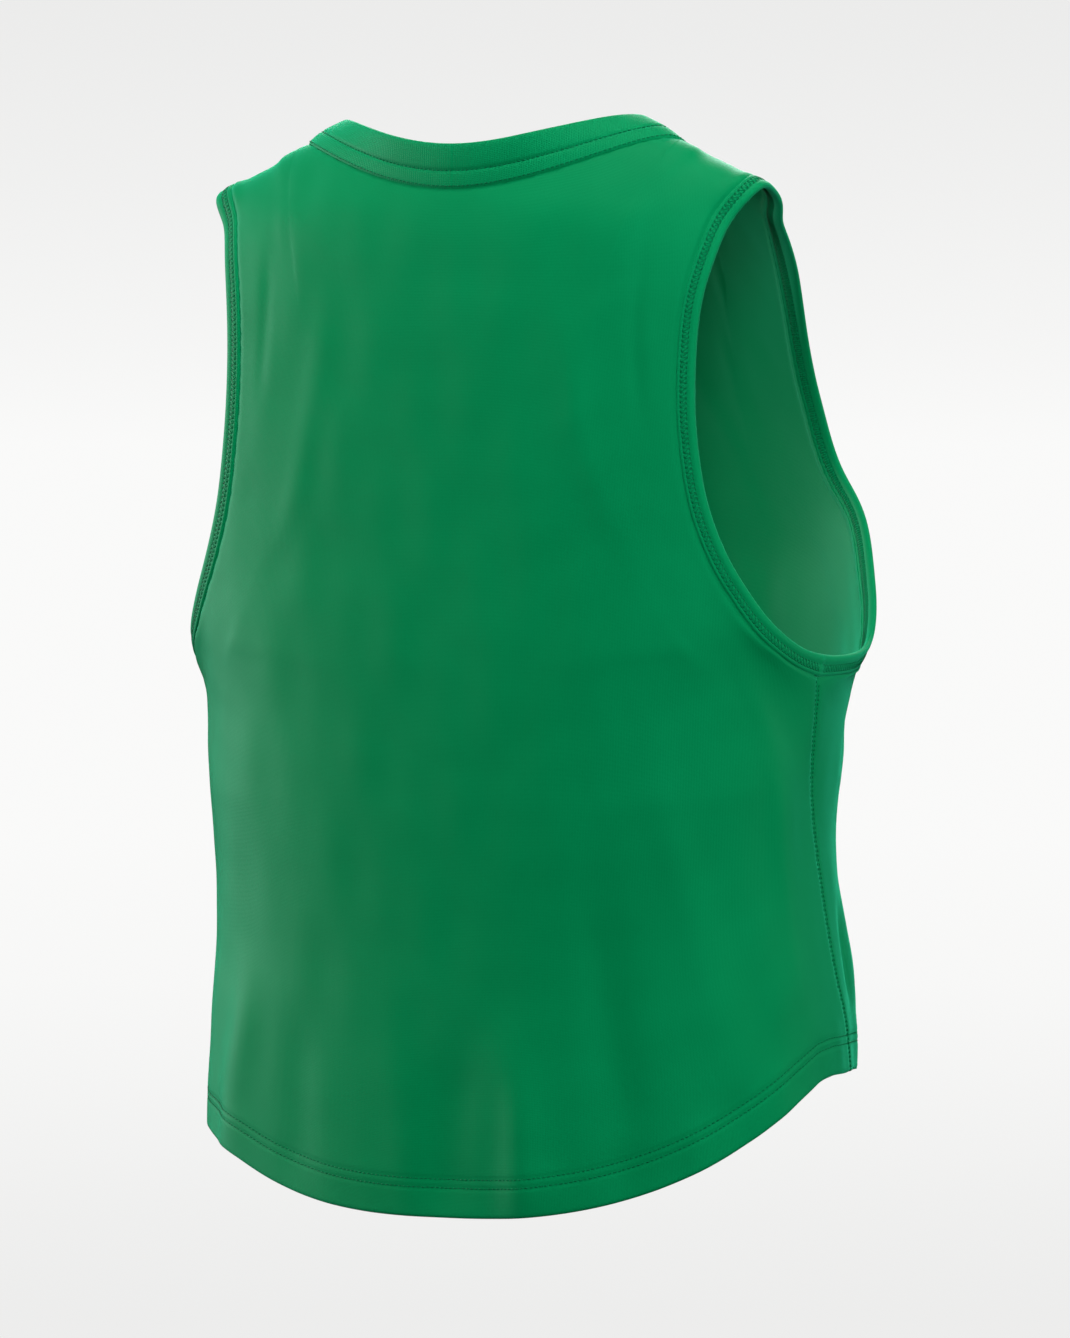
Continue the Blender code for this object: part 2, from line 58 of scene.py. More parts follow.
# ---- the tube of the body, from the hem to the underarm
# Each ring is a squarish oval: half_width across, with back_y and front_y on its centre lines, and widest at
# widest_y. side_z, back_z and front_z are its heights and seam_y is where the side seam lies on it. It leaves
# its height at the centre as a power of s, rise, but for the share of it that sweeps up as the hem does.
RING_COLUMNS = ("side_z", "back_z", "front_z", "half_width", "widest_y", "back_y", "front_y", "seam_y",
                "back_square", "front_square", "rise", "sweep")
RINGS = (
    (-467, -538, -482, 173.5, -37, 59, -146, -59, 2.3, 2.2, 2.2, 1.0),  # edge of the hem
    (-447, -518, -462, 173, -37, 59, -146, -54, 2.3, 2.2, 2.2, 1.0),  # top of the hem
    (-414, -464, -424, 170, -35, 59, -144, -43, 2.3, 2.2, 2.2, 1.0),
    (-378, -410, -392, 166.5, -33, 59, -143, -36, 2.3, 2.2, 2.2, 0.5),  # waist
    (-323, -348, -342, 165.5, -31, 61, -145, -25, 2.4, 2.2, 2.8, 0.0),
    (-269, -292, -292, 174.5, -33, 63, -158, -15, 2.5, 2.2, 3.2, 0.0),  # underarm
)
SWEEP_REACH = 0.885  # s at which the hem's sweep is over
SWEEP_POWER = 1.35

# ---- the cloth above the underarm
# edge_x and edge_z are where the armhole seam lies. Near the neck the row's centre is cut away.
ROW_COLUMNS = ("edge_x", "edge_z", "centre_z", "half_width", "widest_y", "centre_y", "square", "rise")
BACK_ROWS = (
    (170.5, -264, -284, 175.5, -33, 63, 2.5, 3.2),
    (163, -253, -271, 178, -32, 63, 2.5, 3.0),
    (146, -225, -243, 179, -32, 63, 2.5, 2.8),
    (133, -195, -210, 179, -32, 62, 2.5, 2.6),
    (124.5, -150, -163, 178, -32, 61, 2.5, 2.4),
    (123, -115, -124, 177, -32, 59, 2.5, 2.2),
    (126, -75, -76, 174, -28, 55, 2.5, 1.8),
    (134.3, -40, -26, 165, -22, 45, 2.5, 1.4),
    (145, -20, 30, 200, -12, 3, 2.0, 1.2),  # ridge of the shoulder
)
SHOULDER_SEAM = ((142.5, -23, 27, 200, -24, -9, 2.0, 1.2),)
FRONT_ROWS = (
    (136, -34, 12, 165, -18, -40, 2.4, 1.2),
    (128, -46, -8, 163, -22, -68, 2.4, 1.4),
    (119, -80, -66, 172, -27, -106, 2.4, 1.7),
    (114, -130, -132, 177, -30, -142, 2.4, 2.0),
    (124, -172, -184, 179, -32, -160, 2.4, 2.2),
    (137, -190, -207, 180, -32, -165, 2.4, 2.4),
    (154, -231, -249, 180, -32, -164, 2.3, 2.8),
    (169, -263, -282, 176, -33, -160, 2.2, 3.2),
)

# ---- neckline
NECK_SHARE = 0.69  # s of the neck seam where it crosses the shoulder
NECK_BACK_Z = -25.5  # neck seam on the centre lines
NECK_FRONT_Z = -100.0
NECK_BACK_ROUND = 1.7  # 2 is an oval neckline and less is more pointed
NECK_FRONT_ROUND = 1.9
NECK_CROWD = 1.5  # above 1 the panels' rows bend to the neckline only near it

# ---- soft folds
# Each runs from its head down to its foot. s is the share of the half row, positive on the wearer's left;
# out is how far it stands out, or in where negative, and spread is half its width.
FOLD_COLUMNS = ("head_s", "head_z", "foot_s", "foot_z", "out", "spread")
FOLDS = {
    "back": (
        (-0.88, -236, -0.80, -400, 3.5, 11),  # ridge that hangs from the right underarm
        (-0.95, -245, -0.92, -330, -3.0, 8),  # hollow between it and the side seam
        (0.88, -236, 0.80, -400, 3.0, 11),
        (-0.15, -430, -0.13, -560, 3.5, 13),  # flutes that open towards the hem
        (-0.05, -430, 0.02, -560, -2.5, 13),
        (-0.36, -330, -0.30, -560, -2.5, 14),
        (0.47, -400, 0.50, -560, 3.0, 14),
    ),
    "front": (
        (-0.80, -370, -0.86, -500, 2.5, 10),  # roll in front of the right side seam
        (0.80, -370, 0.86, -500, 2.5, 10),
        (0.30, -300, 0.24, -520, 3.0, 18),
        (-0.22, -320, -0.30, -520, 3.0, 18),
    ),
}
HALF_ROW = 228.0  # about the length of a half row, which turns s into millimetres
FOLD_END = 0.4  # share of a fold's length over which it rises from nothing at each end
FOLD_MARGIN = 0.1  # s next to a side seam over which folds die away

# ---- trims
CREASE = 0.8  # from a trim's edge to where it stands out in full
EDGE_ROUND = 0.5  # how much lower it is at the edge itself
BINDING_WIDTH = 9.4
# How far each binding turns out from the panel beside it, in degrees, at shares of the way from the underarm
# up the back, over the shoulder at 0.45 and down the front.
TURNS = {
    "share": (0.0, 0.25, 0.45, 0.55, 0.65, 0.88, 1.0),
    "turn": (0, 0, 0, 15, 30, 30, 0),
}
BAND_LOWER = 8.8  # from the neck seam to the stitched groove
BAND_UPPER = 13.6  # from the groove to the fold
GROOVE_DEPTH = 0.6
BAND_SETTLE = 1.5  # from the neck seam to where the band has its own lean
# How steeply the two parts of the band stand, in degrees, at shares of the way from centre back over the
# shoulder at 0.45 to centre front.
LEANS = {
    "share": (0.0, 0.12, 0.26, 0.36, 0.45, 0.60, 1.0),
    "lower": (88, 84, 62, 40, 26, 40, 62),
    "upper": (88, 86, 48, 14, 4, 30, 58),
}

# ---- the strip of cloth
NEAR = 0.001
CENTRE_SAMPLES = 600
STRIP_COLUMNS = ("edge_z", "centre_z", "half_width", "widest_y", "centre_y", "far_y", "turn", "inner_turn",
                 "square", "far_square", "rise", "sweep")
FAR_Y = STRIP_COLUMNS.index("far_y")
FAR_SQUARE = STRIP_COLUMNS.index("far_square")
CORNER_REACH = 5.0  # the higher, the nearer to the edge the underarm's corner stays


def records(table, columns):
    """The rows of a table, each with its values by name."""
    return [dict(zip(columns, values)) for values in table]


def smooth_step(t):
    """0 to 1, with soft ends."""
    t = np.clip(t, 0.0, 1.0)
    return t * t * (3.0 - 2.0 * t)


def unit(vectors):
    """Vectors of length 1."""
    return vectors / np.linalg.norm(vectors, axis=-1, keepdims=True)


def dimple(distance, reach):
    """1 at 0 and fading to nothing past the reach."""
    return np.exp(-(distance / reach) ** 2)


def angle_at_x(x, half_width, square):
    """Angle from the centre line at which a squarish oval reaches x."""
    return math.atan2(1.0, ((half_width / x) ** square - 1.0) ** (1.0 / square))


def angle_at_depth(y, depth, square):
    """Angle from the centre line at which a squarish oval is still y in front of its widest line."""
    return math.atan2(((depth / y) ** square - 1.0) ** (1.0 / square), 1.0)


def oval_rows():
    """The strip's rows, from the back hem to the front hem, with how far round its oval each one reaches.

    Their columns are STRIP_COLUMNS, where the far ones describe the oval past its widest line.
    """
    back = []
    front = []
    for ring in records(RINGS, RING_COLUMNS):
        depth = ring["widest_y"] - ring["front_y"]
        behind = ring["seam_y"] - ring["widest_y"]
        if behind > 0:
            turn = angle_at_depth(behind, ring["back_y"] - ring["widest_y"], ring["back_square"])
        else:
            turn = math.pi - angle_at_depth(-behind, depth, ring["front_square"])
        shared = (ring["half_width"], ring["widest_y"])
        back.append((ring["side_z"], ring["back_z"], *shared, ring["back_y"], ring["front_y"], turn, turn,
                     ring["back_square"], ring["front_square"], ring["rise"], ring["sweep"]))
        front.append((ring["side_z"], ring["front_z"], *shared, ring["front_y"], ring["back_y"],
                      math.pi - turn, math.pi - turn, ring["front_square"], ring["back_square"],
                      ring["rise"], ring["sweep"]))
    upper = []
    for beneath, table in ((back[-1], BACK_ROWS + SHOULDER_SEAM), (front[-1], FRONT_ROWS)):
        for row in records(table, ROW_COLUMNS):
            turn = angle_at_x(row["edge_x"], row["half_width"], row["square"])
            upper.append((row["edge_z"], row["centre_z"], row["half_width"], row["widest_y"], row["centre_y"],
                          beneath[FAR_Y], turn, turn, row["square"], beneath[FAR_SQUARE], row["rise"], 0.0))
    return np.array(back + upper + front[::-1])


def across(rows, s):
    """Points of the smooth cloth at s on rows of the strip."""
    (edge_z, centre_z, half_width, widest_y, centre_y, far_y, turn, inner_turn, square, far_square, rise,
     sweep) = np.moveaxis(rows, -1, 0)
    angle = np.abs(s) * inner_turn + np.abs(s) ** CORNER_REACH * (turn - inner_turn)
    past = angle > math.pi / 2
    depth = np.where(past, widest_y - far_y, centre_y - widest_y)
    power = np.where(past, far_square, square)
    sine = np.sin(angle)
    cosine = np.cos(angle)
    reach = (np.abs(sine) ** power + np.abs(cosine) ** power) ** (-1.0 / power)
    x = np.sign(s) * half_width * reach * sine
    y = widest_y + depth * reach * cosine
    swept = smooth_step((np.abs(s) / SWEEP_REACH) ** SWEEP_POWER)
    z = centre_z + (edge_z - centre_z) * ((1.0 - sweep) * np.abs(s) ** rise + sweep * swept)
    return np.stack([x, y, z], -1)


def strip_knots(rows):
    """v of each row: the mean of the ways along the edge and along the centre line.

    The rings are as far apart in front as behind, so that both panels have the same side seam.
    """
    ones = np.ones(len(rows))
    lengths = [np.linalg.norm(np.diff(across(rows, share), axis=0), axis=1) for share in (0.0 * ones, ones)]
    gaps = 0.5 * (lengths[0] + lengths[1])
    rings = len(RINGS) - 1
    gaps[-rings:] = gaps[:rings][::-1]
    return np.concatenate([[0.0], np.cumsum(gaps)])


def strip_slopes(knots, rows):
    """Slopes of the cubic that arrives at each row and of the one that leaves it.

    At the two underarm rows they are those of the rings beneath, so that both panels have the same side
    seam. The seam turns a corner there, so above them edge_z and turn set off at slopes of their own.
    """
    gap = np.diff(knots)[:, None]
    rate = np.diff(rows, axis=0) / gap
    between = (rate[:-1] * gap[1:] + rate[1:] * gap[:-1]) / (gap[:-1] + gap[1:])
    arriving = np.vstack([rate[:1], between, rate[-1:]])
    leaving = arriving.copy()
    corners = [STRIP_COLUMNS.index("edge_z"), STRIP_COLUMNS.index("turn")]
    behind = len(RINGS) - 1
    before = len(rows) - len(RINGS)
    arriving[behind] = rate[behind - 1]
    leaving[behind] = rate[behind - 1]
    leaving[behind, corners] = rate[behind, corners]
    leaving[before] = rate[before]
    arriving[before] = rate[before]
    arriving[before, corners] = rate[before - 1, corners]
    return arriving, leaving


ROWS = oval_rows()
KNOTS = strip_knots(ROWS)
ARRIVING, LEAVING = strip_slopes(KNOTS, ROWS)
SEAM_V = KNOTS[len(RINGS) + len(BACK_ROWS)]
UNDERARM_V = {"back": KNOTS[len(RINGS) - 1], "front": KNOTS[len(KNOTS) - len(RINGS)]}
UPWARDS = {"back": 1.0, "front": -1.0}  # the way of v from each hem


def rows_at(v):
    """Rows of the strip at any v, on cubics through the rows of the tables."""
    i = np.clip(np.searchsorted(KNOTS, v, side="right") - 1, 0, len(KNOTS) - 2)
    gap = (KNOTS[i + 1] - KNOTS[i])[..., None]
    t = (v - KNOTS[i])[..., None] / gap
    start = (1 + 2 * t) * (1 - t) ** 2 * ROWS[i] + t * (1 - t) ** 2 * gap * LEAVING[i]
    end = t * t * (3 - 2 * t) * ROWS[i + 1] + t * t * (t - 1) * gap * ARRIVING[i + 1]
    return start + end


def plain_cloth(s, v):
    """Points of the cloth without its folds, and with the left side's sag."""
    s, v = np.broadcast_arrays(np.asarray(s, float), np.asarray(v, float))
    points = across(rows_at(v), s)
    underarm_z = RINGS[-1][0]
    hem_z = RINGS[0][0]
    low = smooth_step((underarm_z - points[..., 2]) / (underarm_z - hem_z))
    left = np.where(v <= SEAM_V, smooth_step((s - BACK_SAG_START) / BACK_SAG_REACH),
                    smooth_step((s - FRONT_SAG_START) / FRONT_SAG_REACH))
    points[..., 2] -= LEFT_SAG * low * left
    return points


def outward(s, v):
    """Unit normals of the cloth's outer face."""
    s, v = np.broadcast_arrays(np.asarray(s, float), np.asarray(v, float))
    step = 1.0
    along = plain_cloth(s, np.minimum(v + step, KNOTS[-1])) - plain_cloth(s, np.maximum(v - step, 0.0))
    share = 0.004
    sideways = plain_cloth(np.minimum(s + share, 1.0), v) - plain_cloth(np.maximum(s - share, -1.0), v)
    return unit(np.cross(along, sideways))


def cloth(s, v):
    """Points of the outer face, folds and all."""
    s, v = np.broadcast_arrays(np.asarray(s, float), np.asarray(v, float))
    points = plain_cloth(s, v)
    height = np.zeros(s.shape)
    for side, folds in FOLDS.items():
        on_panel = (v <= SEAM_V) == (side == "back")
        for fold in records(folds, FOLD_COLUMNS):
            share = (fold["head_z"] - points[..., 2]) / (fold["head_z"] - fold["foot_z"])
            line = fold["head_s"] + (fold["foot_s"] - fold["head_s"]) * share
            ends = smooth_step(share / FOLD_END) * smooth_step((1.0 - share) / FOLD_END)
            height += on_panel * fold["out"] * dimple((s - line) * HALF_ROW, fold["spread"]) * ends
    edge = smooth_step((1.0 - np.abs(s)) / FOLD_MARGIN)
    return points + outward(s, v) * (height * edge)[..., None]


def centre_v(height, side):
    """v at which the centre line of the back or the front has a height."""
    v = np.linspace(*sorted((UNDERARM_V[side], SEAM_V)), CENTRE_SAMPLES)
    z = plain_cloth(0.0, v)[:, 2]
    order = np.argsort(z)
    return float(np.interp(height, z[order], v[order]))


def neck_curve(side, angles):
    """s and v of the neck seam of one half; angles go from 0 on the centre line to 90 degrees at the seam."""
    height, power = (NECK_BACK_Z, NECK_BACK_ROUND) if side == "back" else (NECK_FRONT_Z, NECK_FRONT_ROUND)
    start = centre_v(height, side)
    s = NECK_SHARE * np.sin(angles) ** (2.0 / power)
    return s, start + (SEAM_V - start) * (1.0 - np.cos(angles))


# ---- finer cloth
CLOTH_WALL = 1.3
HEM_FOLD_WALL = 2.2
HEM_BAND = 26.0  # stretch of finer rows above the hem's edge
HEM_STEP = 1.2
ROW_STEP = 4.2
NECK_FINE = 36  # fine columns from the centre line to the neck seam
SHOULDER_FINE = 26  # and from there to the armhole
RIM = (0.0, 0.4, 0.9, 1.6)  # rows that round the hem's fold
RIM_DROP = (1.0, 0.45, 0.12, 0.0)
EVEN_SHARE = 0.978  # s where the even columns end
LAST_COLUMNS = (0.988, 0.9945, 0.998, 1.0)
LAST_ROWS = (3.2, 1.8, 0.7, 0.0)

# Creases, softer and shorter than the folds of the frame. bow bends one sideways, as a share of the half row.
CREASE_COLUMNS = ("head_s", "head_z", "foot_s", "foot_z", "bow", "out", "spread")
CREASES = {
    "back": (
        (-0.87, -240, -0.79, -330, 0.015, -0.7, 9.0),
        (-0.82, -300, -0.76, -455, -0.02, 0.9, 10.0),
        (-0.6, -330, -0.69, -505, 0.02, -0.8, 11.0),
        (-0.47, -300, -0.54, -500, -0.02, 0.9, 10.0),
        (-0.3, -345, -0.365, -520, 0.015, -1.0, 9.0),
        (-0.165, -462, -0.15, -560, 0.0, 1.7, 6.5),  # flute at the hem
        (-0.115, -450, -0.095, -560, 0.0, -1.5, 6.0),
        (0.08, -440, 0.06, -560, 0.01, 0.8, 11.0),
        (0.3, -420, 0.27, -555, 0.0, -0.9, 9.0),
        (0.47, -425, 0.44, -530, 0.01, 0.8, 8.0),  # streaks near the left side
        (0.56, -435, 0.535, -520, 0.0, -0.5, 8.0),
        (0.65, -390, 0.63, -510, 0.01, 0.4, 9.0),
        (-0.52, -70, -0.73, -215, 0.03, 1.0, 15.0),  # drape over the shoulder blades
        (0.54, -75, 0.72, -225, -0.03, 1.0, 15.0),
        (-0.78, -45, -0.86, -150, 0.01, -0.7, 8.0),
        (0.78, -45, 0.87, -140, 0.01, -0.7, 8.0),
    ),
    "front": (
        (-0.88, -235, -0.76, -330, 0.02, -1.1, 8.0),
        (-0.87, -378, -0.9, -440, 0.0, -1.8, 5.0),  # hollow in front of the side seam
        (-0.79, -365, -0.83, -450, 0.01, 1.4, 7.0),
        (0.86, -240, 0.74, -345, -0.02, -1.0, 9.0),
        (-0.6, -190, -0.38, -330, 0.04, 1.1, 14.0),
        (0.62, -185, 0.4, -320, -0.04, 1.2, 13.0),
        (-0.42, -330, -0.47, -505, 0.02, 1.2, 9.0),
        (-0.11, -350, -0.08, -505, 0.0, -1.0, 10.0),
        (0.14, -370, 0.17, -505, 0.01, 1.1, 8.0),
        (0.47, -340, 0.52, -505, -0.02, -1.2, 9.0),
        (0.33, -90, 0.52, -170, 0.02, -0.8, 11.0),
        (-0.35, -95, -0.54, -165, -0.02, -0.8, 11.0),
    ),
}
CREASE_END = 0.35
RELIEF_BESIDE = 18.0  # creases and waves rise over this way from a side seam
RELIEF_BELOW = 14.0  # and over this from the neck and shoulder seams
# Ripples in the turned-up hem: where they lie, how far they stand out and half their width.
RIPPLE_COLUMNS = ("s", "out", "spread")
RIPPLES = {
    "back": (
        (-0.93, 0.6, 7.0), (-0.80, -0.8, 8.0), (-0.66, 0.9, 9.0), (-0.55, -0.9, 6.0),
        (-0.46, 0.8, 7.0), (-0.33, -0.7, 8.0), (-0.20, 0.5, 6.0), (-0.04, -0.5, 9.0),
        (0.13, 0.4, 8.0), (0.31, -0.7, 7.0), (0.43, 0.6, 8.0), (0.53, -0.5, 6.0),
        (0.66, 0.3, 9.0),
    ),
    "front": (
        (-0.86, 0.8, 8.0), (-0.62, -0.9, 9.0), (-0.40, 0.8, 7.0), (-0.12, -0.6, 10.0),
        (0.10, 0.6, 8.0), (0.35, -0.8, 8.0), (0.57, 0.9, 9.0), (0.80, -0.7, 7.0),
    ),
}
RIPPLE_ABOVE = 6.0  # ripples end this far above the finer rows
RIPPLE_FADE = 14.0
# Faint waves that no cloth is without: their lengths across and along, where they start, and their height.
WAVE_COLUMNS = ("across", "along", "start", "height")
WAVES = (
    (61.0, 170.0, 0.4, 0.14),
    (-47.0, 120.0, 1.9, 0.11),
    (33.0, 95.0, 3.1, 0.08),
    (-26.0, 210.0, 5.2, 0.07),
    (140.0, 41.0, 2.2, 0.08),
    (-90.0, 27.0, 0.9, 0.05),
)
HEM_ROWS = (15.0, 19.3)  # the twin needle's rows above the edge
HEM_TURN = HEM_ROWS[1] + 1.0  # up to here the cloth lies double
SHARP_ANGLE = math.radians(50)
HEM_ROW_SINK = 0.38
HEM_ROW_REACH = 0.9
SEAM_SINK = 0.7  # how deep the panels dip into their side and armhole seams
TOP_SINK = 0.4  # and into those of the neck and shoulders
SEAM_SINK_REACH = 1.5
PUCKER = 0.16  # small gathers beside the seams
PUCKER_LENGTH = 6.7
PUCKER_REACH = 5.5
PUCKER_FADE = 10.0  # above the hem's finer rows

SEAM_SAMPLE = 0.9  # how closely the seams are followed
TOP_SAMPLES = 500
SOFT_FROM = 2.0  # the cloth is softened from here to here beside its side and armhole seams
SOFT_TO = 34.0
SOFT_BLEND = 7.0
SOFT_PASSES = 26
SOFT_ROW = 42.0  # and up to this far above and below the row of the underarms
SOFT_ROW_BLEND = 30.0
ROW_PASSES = 150
TRIM_LAP = 1.1  # how far the cloth runs into its trims
# How far each panel runs over the side and shoulder seams, and how much deeper it lies there.
LAPS = {"back": (0.1, 0.0), "front": (0.9, 0.5)}

# ---- stitches
PITCH = 2.5  # length of a stitch and its gap
STITCH = 2.0
THREAD = 0.50  # its thread's width
CROSS_LIFT = 0.26  # how high the threads lie that cross from row to row
SIDE_SEAM_ROW = 1.15  # from the side seam to the row on either side
BINDING_ROWS = (2.0, 5.0)  # the cover stitch's two rows, from the seam
ROW_SINK = 0.30
JOIN_BUMP = 0.55  # where a binding's ends are sewn together at the underarm
JOIN_REACH = 1.5


def even_levels(stops, step):
    """Levels at about even steps between stops."""
    levels = [stops[0]]
    for low, high in zip(stops[:-1], stops[1:]):
        count = max(1, int(round(abs(high - low) / step)))
        levels += list(np.linspace(low, high, count + 1)[1:])
    return np.array(levels)


def fine_net(side):
    """s and v of a panel's fine points: rows from the hem up, columns from the wearer's right to the left."""
    rise = np.concatenate([RIM, even_levels((RIM[-1], HEM_BAND), HEM_STEP)[1:]])
    underarm = UNDERARM_V[side]
    low = rise if side == "back" else KNOTS[-1] - rise
    last = SEAM_V - np.array(LAST_ROWS) * UPWARDS[side]
    levels = np.concatenate([low, even_levels((low[-1], underarm, last[0]), ROW_STEP)[1:], last[1:]])
    angles = np.linspace(0.0, math.pi / 2, NECK_FINE + 1)
    neck_s, neck_v = neck_curve(side, angles)
    shoulder_s = np.concatenate([np.linspace(NECK_SHARE, EVEN_SHARE, SHOULDER_FINE + 1)[1:], LAST_COLUMNS])
    top_s = np.concatenate([neck_s, shoulder_s])
    top_v = np.concatenate([neck_v, np.full(len(shoulder_s), SEAM_V)])
    foot_s = np.concatenate([np.linspace(0.0, EVEN_SHARE, len(top_s) - len(LAST_COLUMNS)), LAST_COLUMNS])
    share = np.clip((levels - underarm) / (SEAM_V - underarm), 0.0, 1.0)
    s = foot_s + (top_s - foot_s) * smooth_step(share)[:, None]
    v = levels[:, None] + (top_v - SEAM_V) * (share ** NECK_CROWD)[:, None]
    return np.hstack([-s[:, :0:-1], s]), np.hstack([v[:, :0:-1], v])


def travelled(points, axis):
    """How far each point lies along its row or column."""
    gaps = np.linalg.norm(np.diff(points, axis=axis), axis=-1)
    start = np.zeros_like(np.take(gaps, [0], axis=axis))
    return np.cumsum(np.concatenate([start, gaps], axis=axis), axis=axis)


def distance_to(line, points):
    """Distance of each point to the nearest point of a line."""
    found = [np.linalg.norm(row[:, None] - line[None], axis=-1).min(axis=1) for row in points]
    return np.array(found)


def relief(side, s, z, across_way, beside, above_hem, below_top):
    """How far the fine cloth stands out from the frame's, in millimetres."""
    height = np.zeros(s.shape)
    for crease in records(CREASES[side], CREASE_COLUMNS):
        share = (crease["head_z"] - z) / (crease["head_z"] - crease["foot_z"])
        line = crease["head_s"] + (crease["foot_s"] - crease["head_s"]) * share
        line = line + crease["bow"] * np.sin(math.pi * np.clip(share, 0.0, 1.0))
        ends = smooth_step(share / CREASE_END) * smooth_step((1.0 - share) / CREASE_END)
        height += crease["out"] * dimple((s - line) * HALF_ROW, crease["spread"]) * ends
    in_hem = smooth_step((HEM_BAND + RIPPLE_ABOVE - above_hem) / RIPPLE_FADE)
    for ripple in records(RIPPLES[side], RIPPLE_COLUMNS):
        height += ripple["out"] * dimple((s - ripple["s"]) * HALF_ROW, ripple["spread"]) * in_hem
    for wave in records(WAVES, WAVE_COLUMNS):
        turn = 2 * math.pi * (across_way / wave["across"] + above_hem / wave["along"]) + wave["start"]
        height += wave["height"] * np.sin(turn)
    height *= smooth_step(beside / RELIEF_BESIDE) * smooth_step(below_top / RELIEF_BELOW)
    gathers = np.sin(2 * math.pi * above_hem / PUCKER_LENGTH) * dimple(beside, PUCKER_REACH)
    gathers += np.sin(2 * math.pi * across_way / PUCKER_LENGTH) * dimple(below_top, PUCKER_REACH)
    height += PUCKER * gathers * smooth_step((above_hem - HEM_BAND) / PUCKER_FADE)
    height -= np.maximum(SEAM_SINK * dimple(beside, SEAM_SINK_REACH),
                         TOP_SINK * dimple(below_top, SEAM_SINK_REACH))
    for row in HEM_ROWS:
        height -= HEM_ROW_SINK * dimple(above_hem - row, HEM_ROW_REACH)
    height -= np.interp(above_hem, RIM, RIM_DROP)
    return height


def soften(plain, beside, below_top, from_underarm):
    """Evens out the cloth beside its side seams and in the row of the underarms, and says where."""
    guard = smooth_step((beside - SOFT_FROM) / SOFT_BLEND) * smooth_step((below_top - SOFT_FROM) / SOFT_BLEND)
    by_row = guard * smooth_step((SOFT_ROW - np.abs(from_underarm)) / SOFT_ROW_BLEND)
    for _ in range(ROW_PASSES):
        around = (plain[:-2] + plain[2:]) / 2.0
        plain[1:-1] += (around - plain[1:-1]) * by_row[1:-1, :, None]
    softened = guard * smooth_step((SOFT_TO - beside) / SOFT_BLEND)
    for _ in range(SOFT_PASSES):
        around = (plain[:-2, 1:-1] + plain[2:, 1:-1] + plain[1:-1, :-2] + plain[1:-1, 2:]) / 4.0
        plain[1:-1, 1:-1] += (around - plain[1:-1, 1:-1]) * softened[1:-1, 1:-1, None] * 0.5
    return np.maximum(softened, by_row)


def lap_edges(side, s, v, plain, height):
    """Runs the cloth's edges into the trims, and the front's under the back's where the two are sewn."""
    seam_lap, sink = LAPS[side]
    by_trim = (v[:, 0] - UNDERARM_V[side]) * UPWARDS[side] > NEAR
    under_band = np.abs(s[-1]) < NECK_SHARE - NEAR
    lapped = plain.copy()
    for edge, inner, in_trim in ((np.s_[:, 0], np.s_[:, 1], by_trim), (np.s_[:, -1], np.s_[:, -2], by_trim),
                                 (np.s_[-1], np.s_[-2], under_band)):
        way = unit(plain[edge] - plain[inner])
        lapped[edge] += way * np.where(in_trim, TRIM_LAP, seam_lap)[:, None]
        height[edge] -= np.where(in_trim, 0.0, sink)
    return lapped


def fine_panel(side):
    """Points, normals and measures of one panel's fine outer face."""
    s, v = fine_net(side)
    plain = cloth(s, v)
    normals = outward(s, v)
    middle = s.shape[1] // 2
    above_hem = travelled(plain, 0)
    levels = even_levels((v[0, 0], v[-1, 0]), SEAM_SAMPLE)
    beside = np.hstack([distance_to(cloth(-1.0, levels), plain[:, :middle]),
                        distance_to(cloth(1.0, levels), plain[:, middle:])])
    shares = np.linspace(0.0, s.shape[1] - 1.0, TOP_SAMPLES)
    columns = np.arange(s.shape[1])
    top = cloth(np.interp(shares, columns, s[-1]), np.interp(shares, columns, v[-1]))
    below_top = distance_to(top, plain)
    softened = soften(plain, beside, below_top, v[:, :1] - UNDERARM_V[side])
    facing = unit(np.cross(np.gradient(plain, axis=1), np.gradient(plain, axis=0)))
    facing *= np.sign(np.einsum("ijk,ijk->ij", facing, normals).sum())
    normals = unit(normals + (facing - normals) * softened[..., None])
    row_way = travelled(plain, 1)
    across_way = row_way - row_way[:, middle:middle + 1]
    height = relief(side, s, plain[..., 2], across_way, beside, above_hem, below_top)
    lapped = lap_edges(side, s, v, plain, height)
    above_underarm = (v[:, 0] - UNDERARM_V[side]) * UPWARDS[side]
    return {
        "points": lapped + normals * height[..., None],
        "normals": normals,
        "across": across_way,
        "beside": beside,
        "above_hem": above_hem,
        "v": v,
        "below_underarm": np.flatnonzero(above_underarm <= NEAR),
    }


# ---- meshes
def link_mesh(name, points, faces, corner_uv=None):
    """A smooth mesh object at the origin, from millimetres, with its own UV map where one is given."""
    mesh = bpy.data.meshes.new(name)
    mesh.from_pydata((np.asarray(points) * MM).tolist(), [], faces)
    if corner_uv is not None:
        layer = mesh.uv_layers.new(name="grain")
        layer.data.foreach_set("uv", np.asarray(corner_uv, np.float32).ravel())
    mesh.update()
    mesh.shade_smooth()
    piece = bpy.data.objects.new(name, mesh)
    bpy.context.scene.collection.objects.link(piece)
    return piece


def clear_selection():
    """Deselects everything."""
    for other in bpy.context.selected_objects:
        other.select_set(False)


def apply_modifiers(piece):
    """Applies all of a piece's modifiers."""
    clear_selection()
    piece.select_set(True)
    bpy.context.view_layer.objects.active = piece
    for modifier in list(piece.modifiers):
        bpy.ops.object.modifier_apply(modifier=modifier.name)
    piece.select_set(False)


def corners_of(grid):
    """The four corners of each cell of a grid of values."""
    return np.stack([grid[:-1, :-1], grid[1:, :-1], grid[1:, 1:], grid[:-1, 1:]], axis=2)


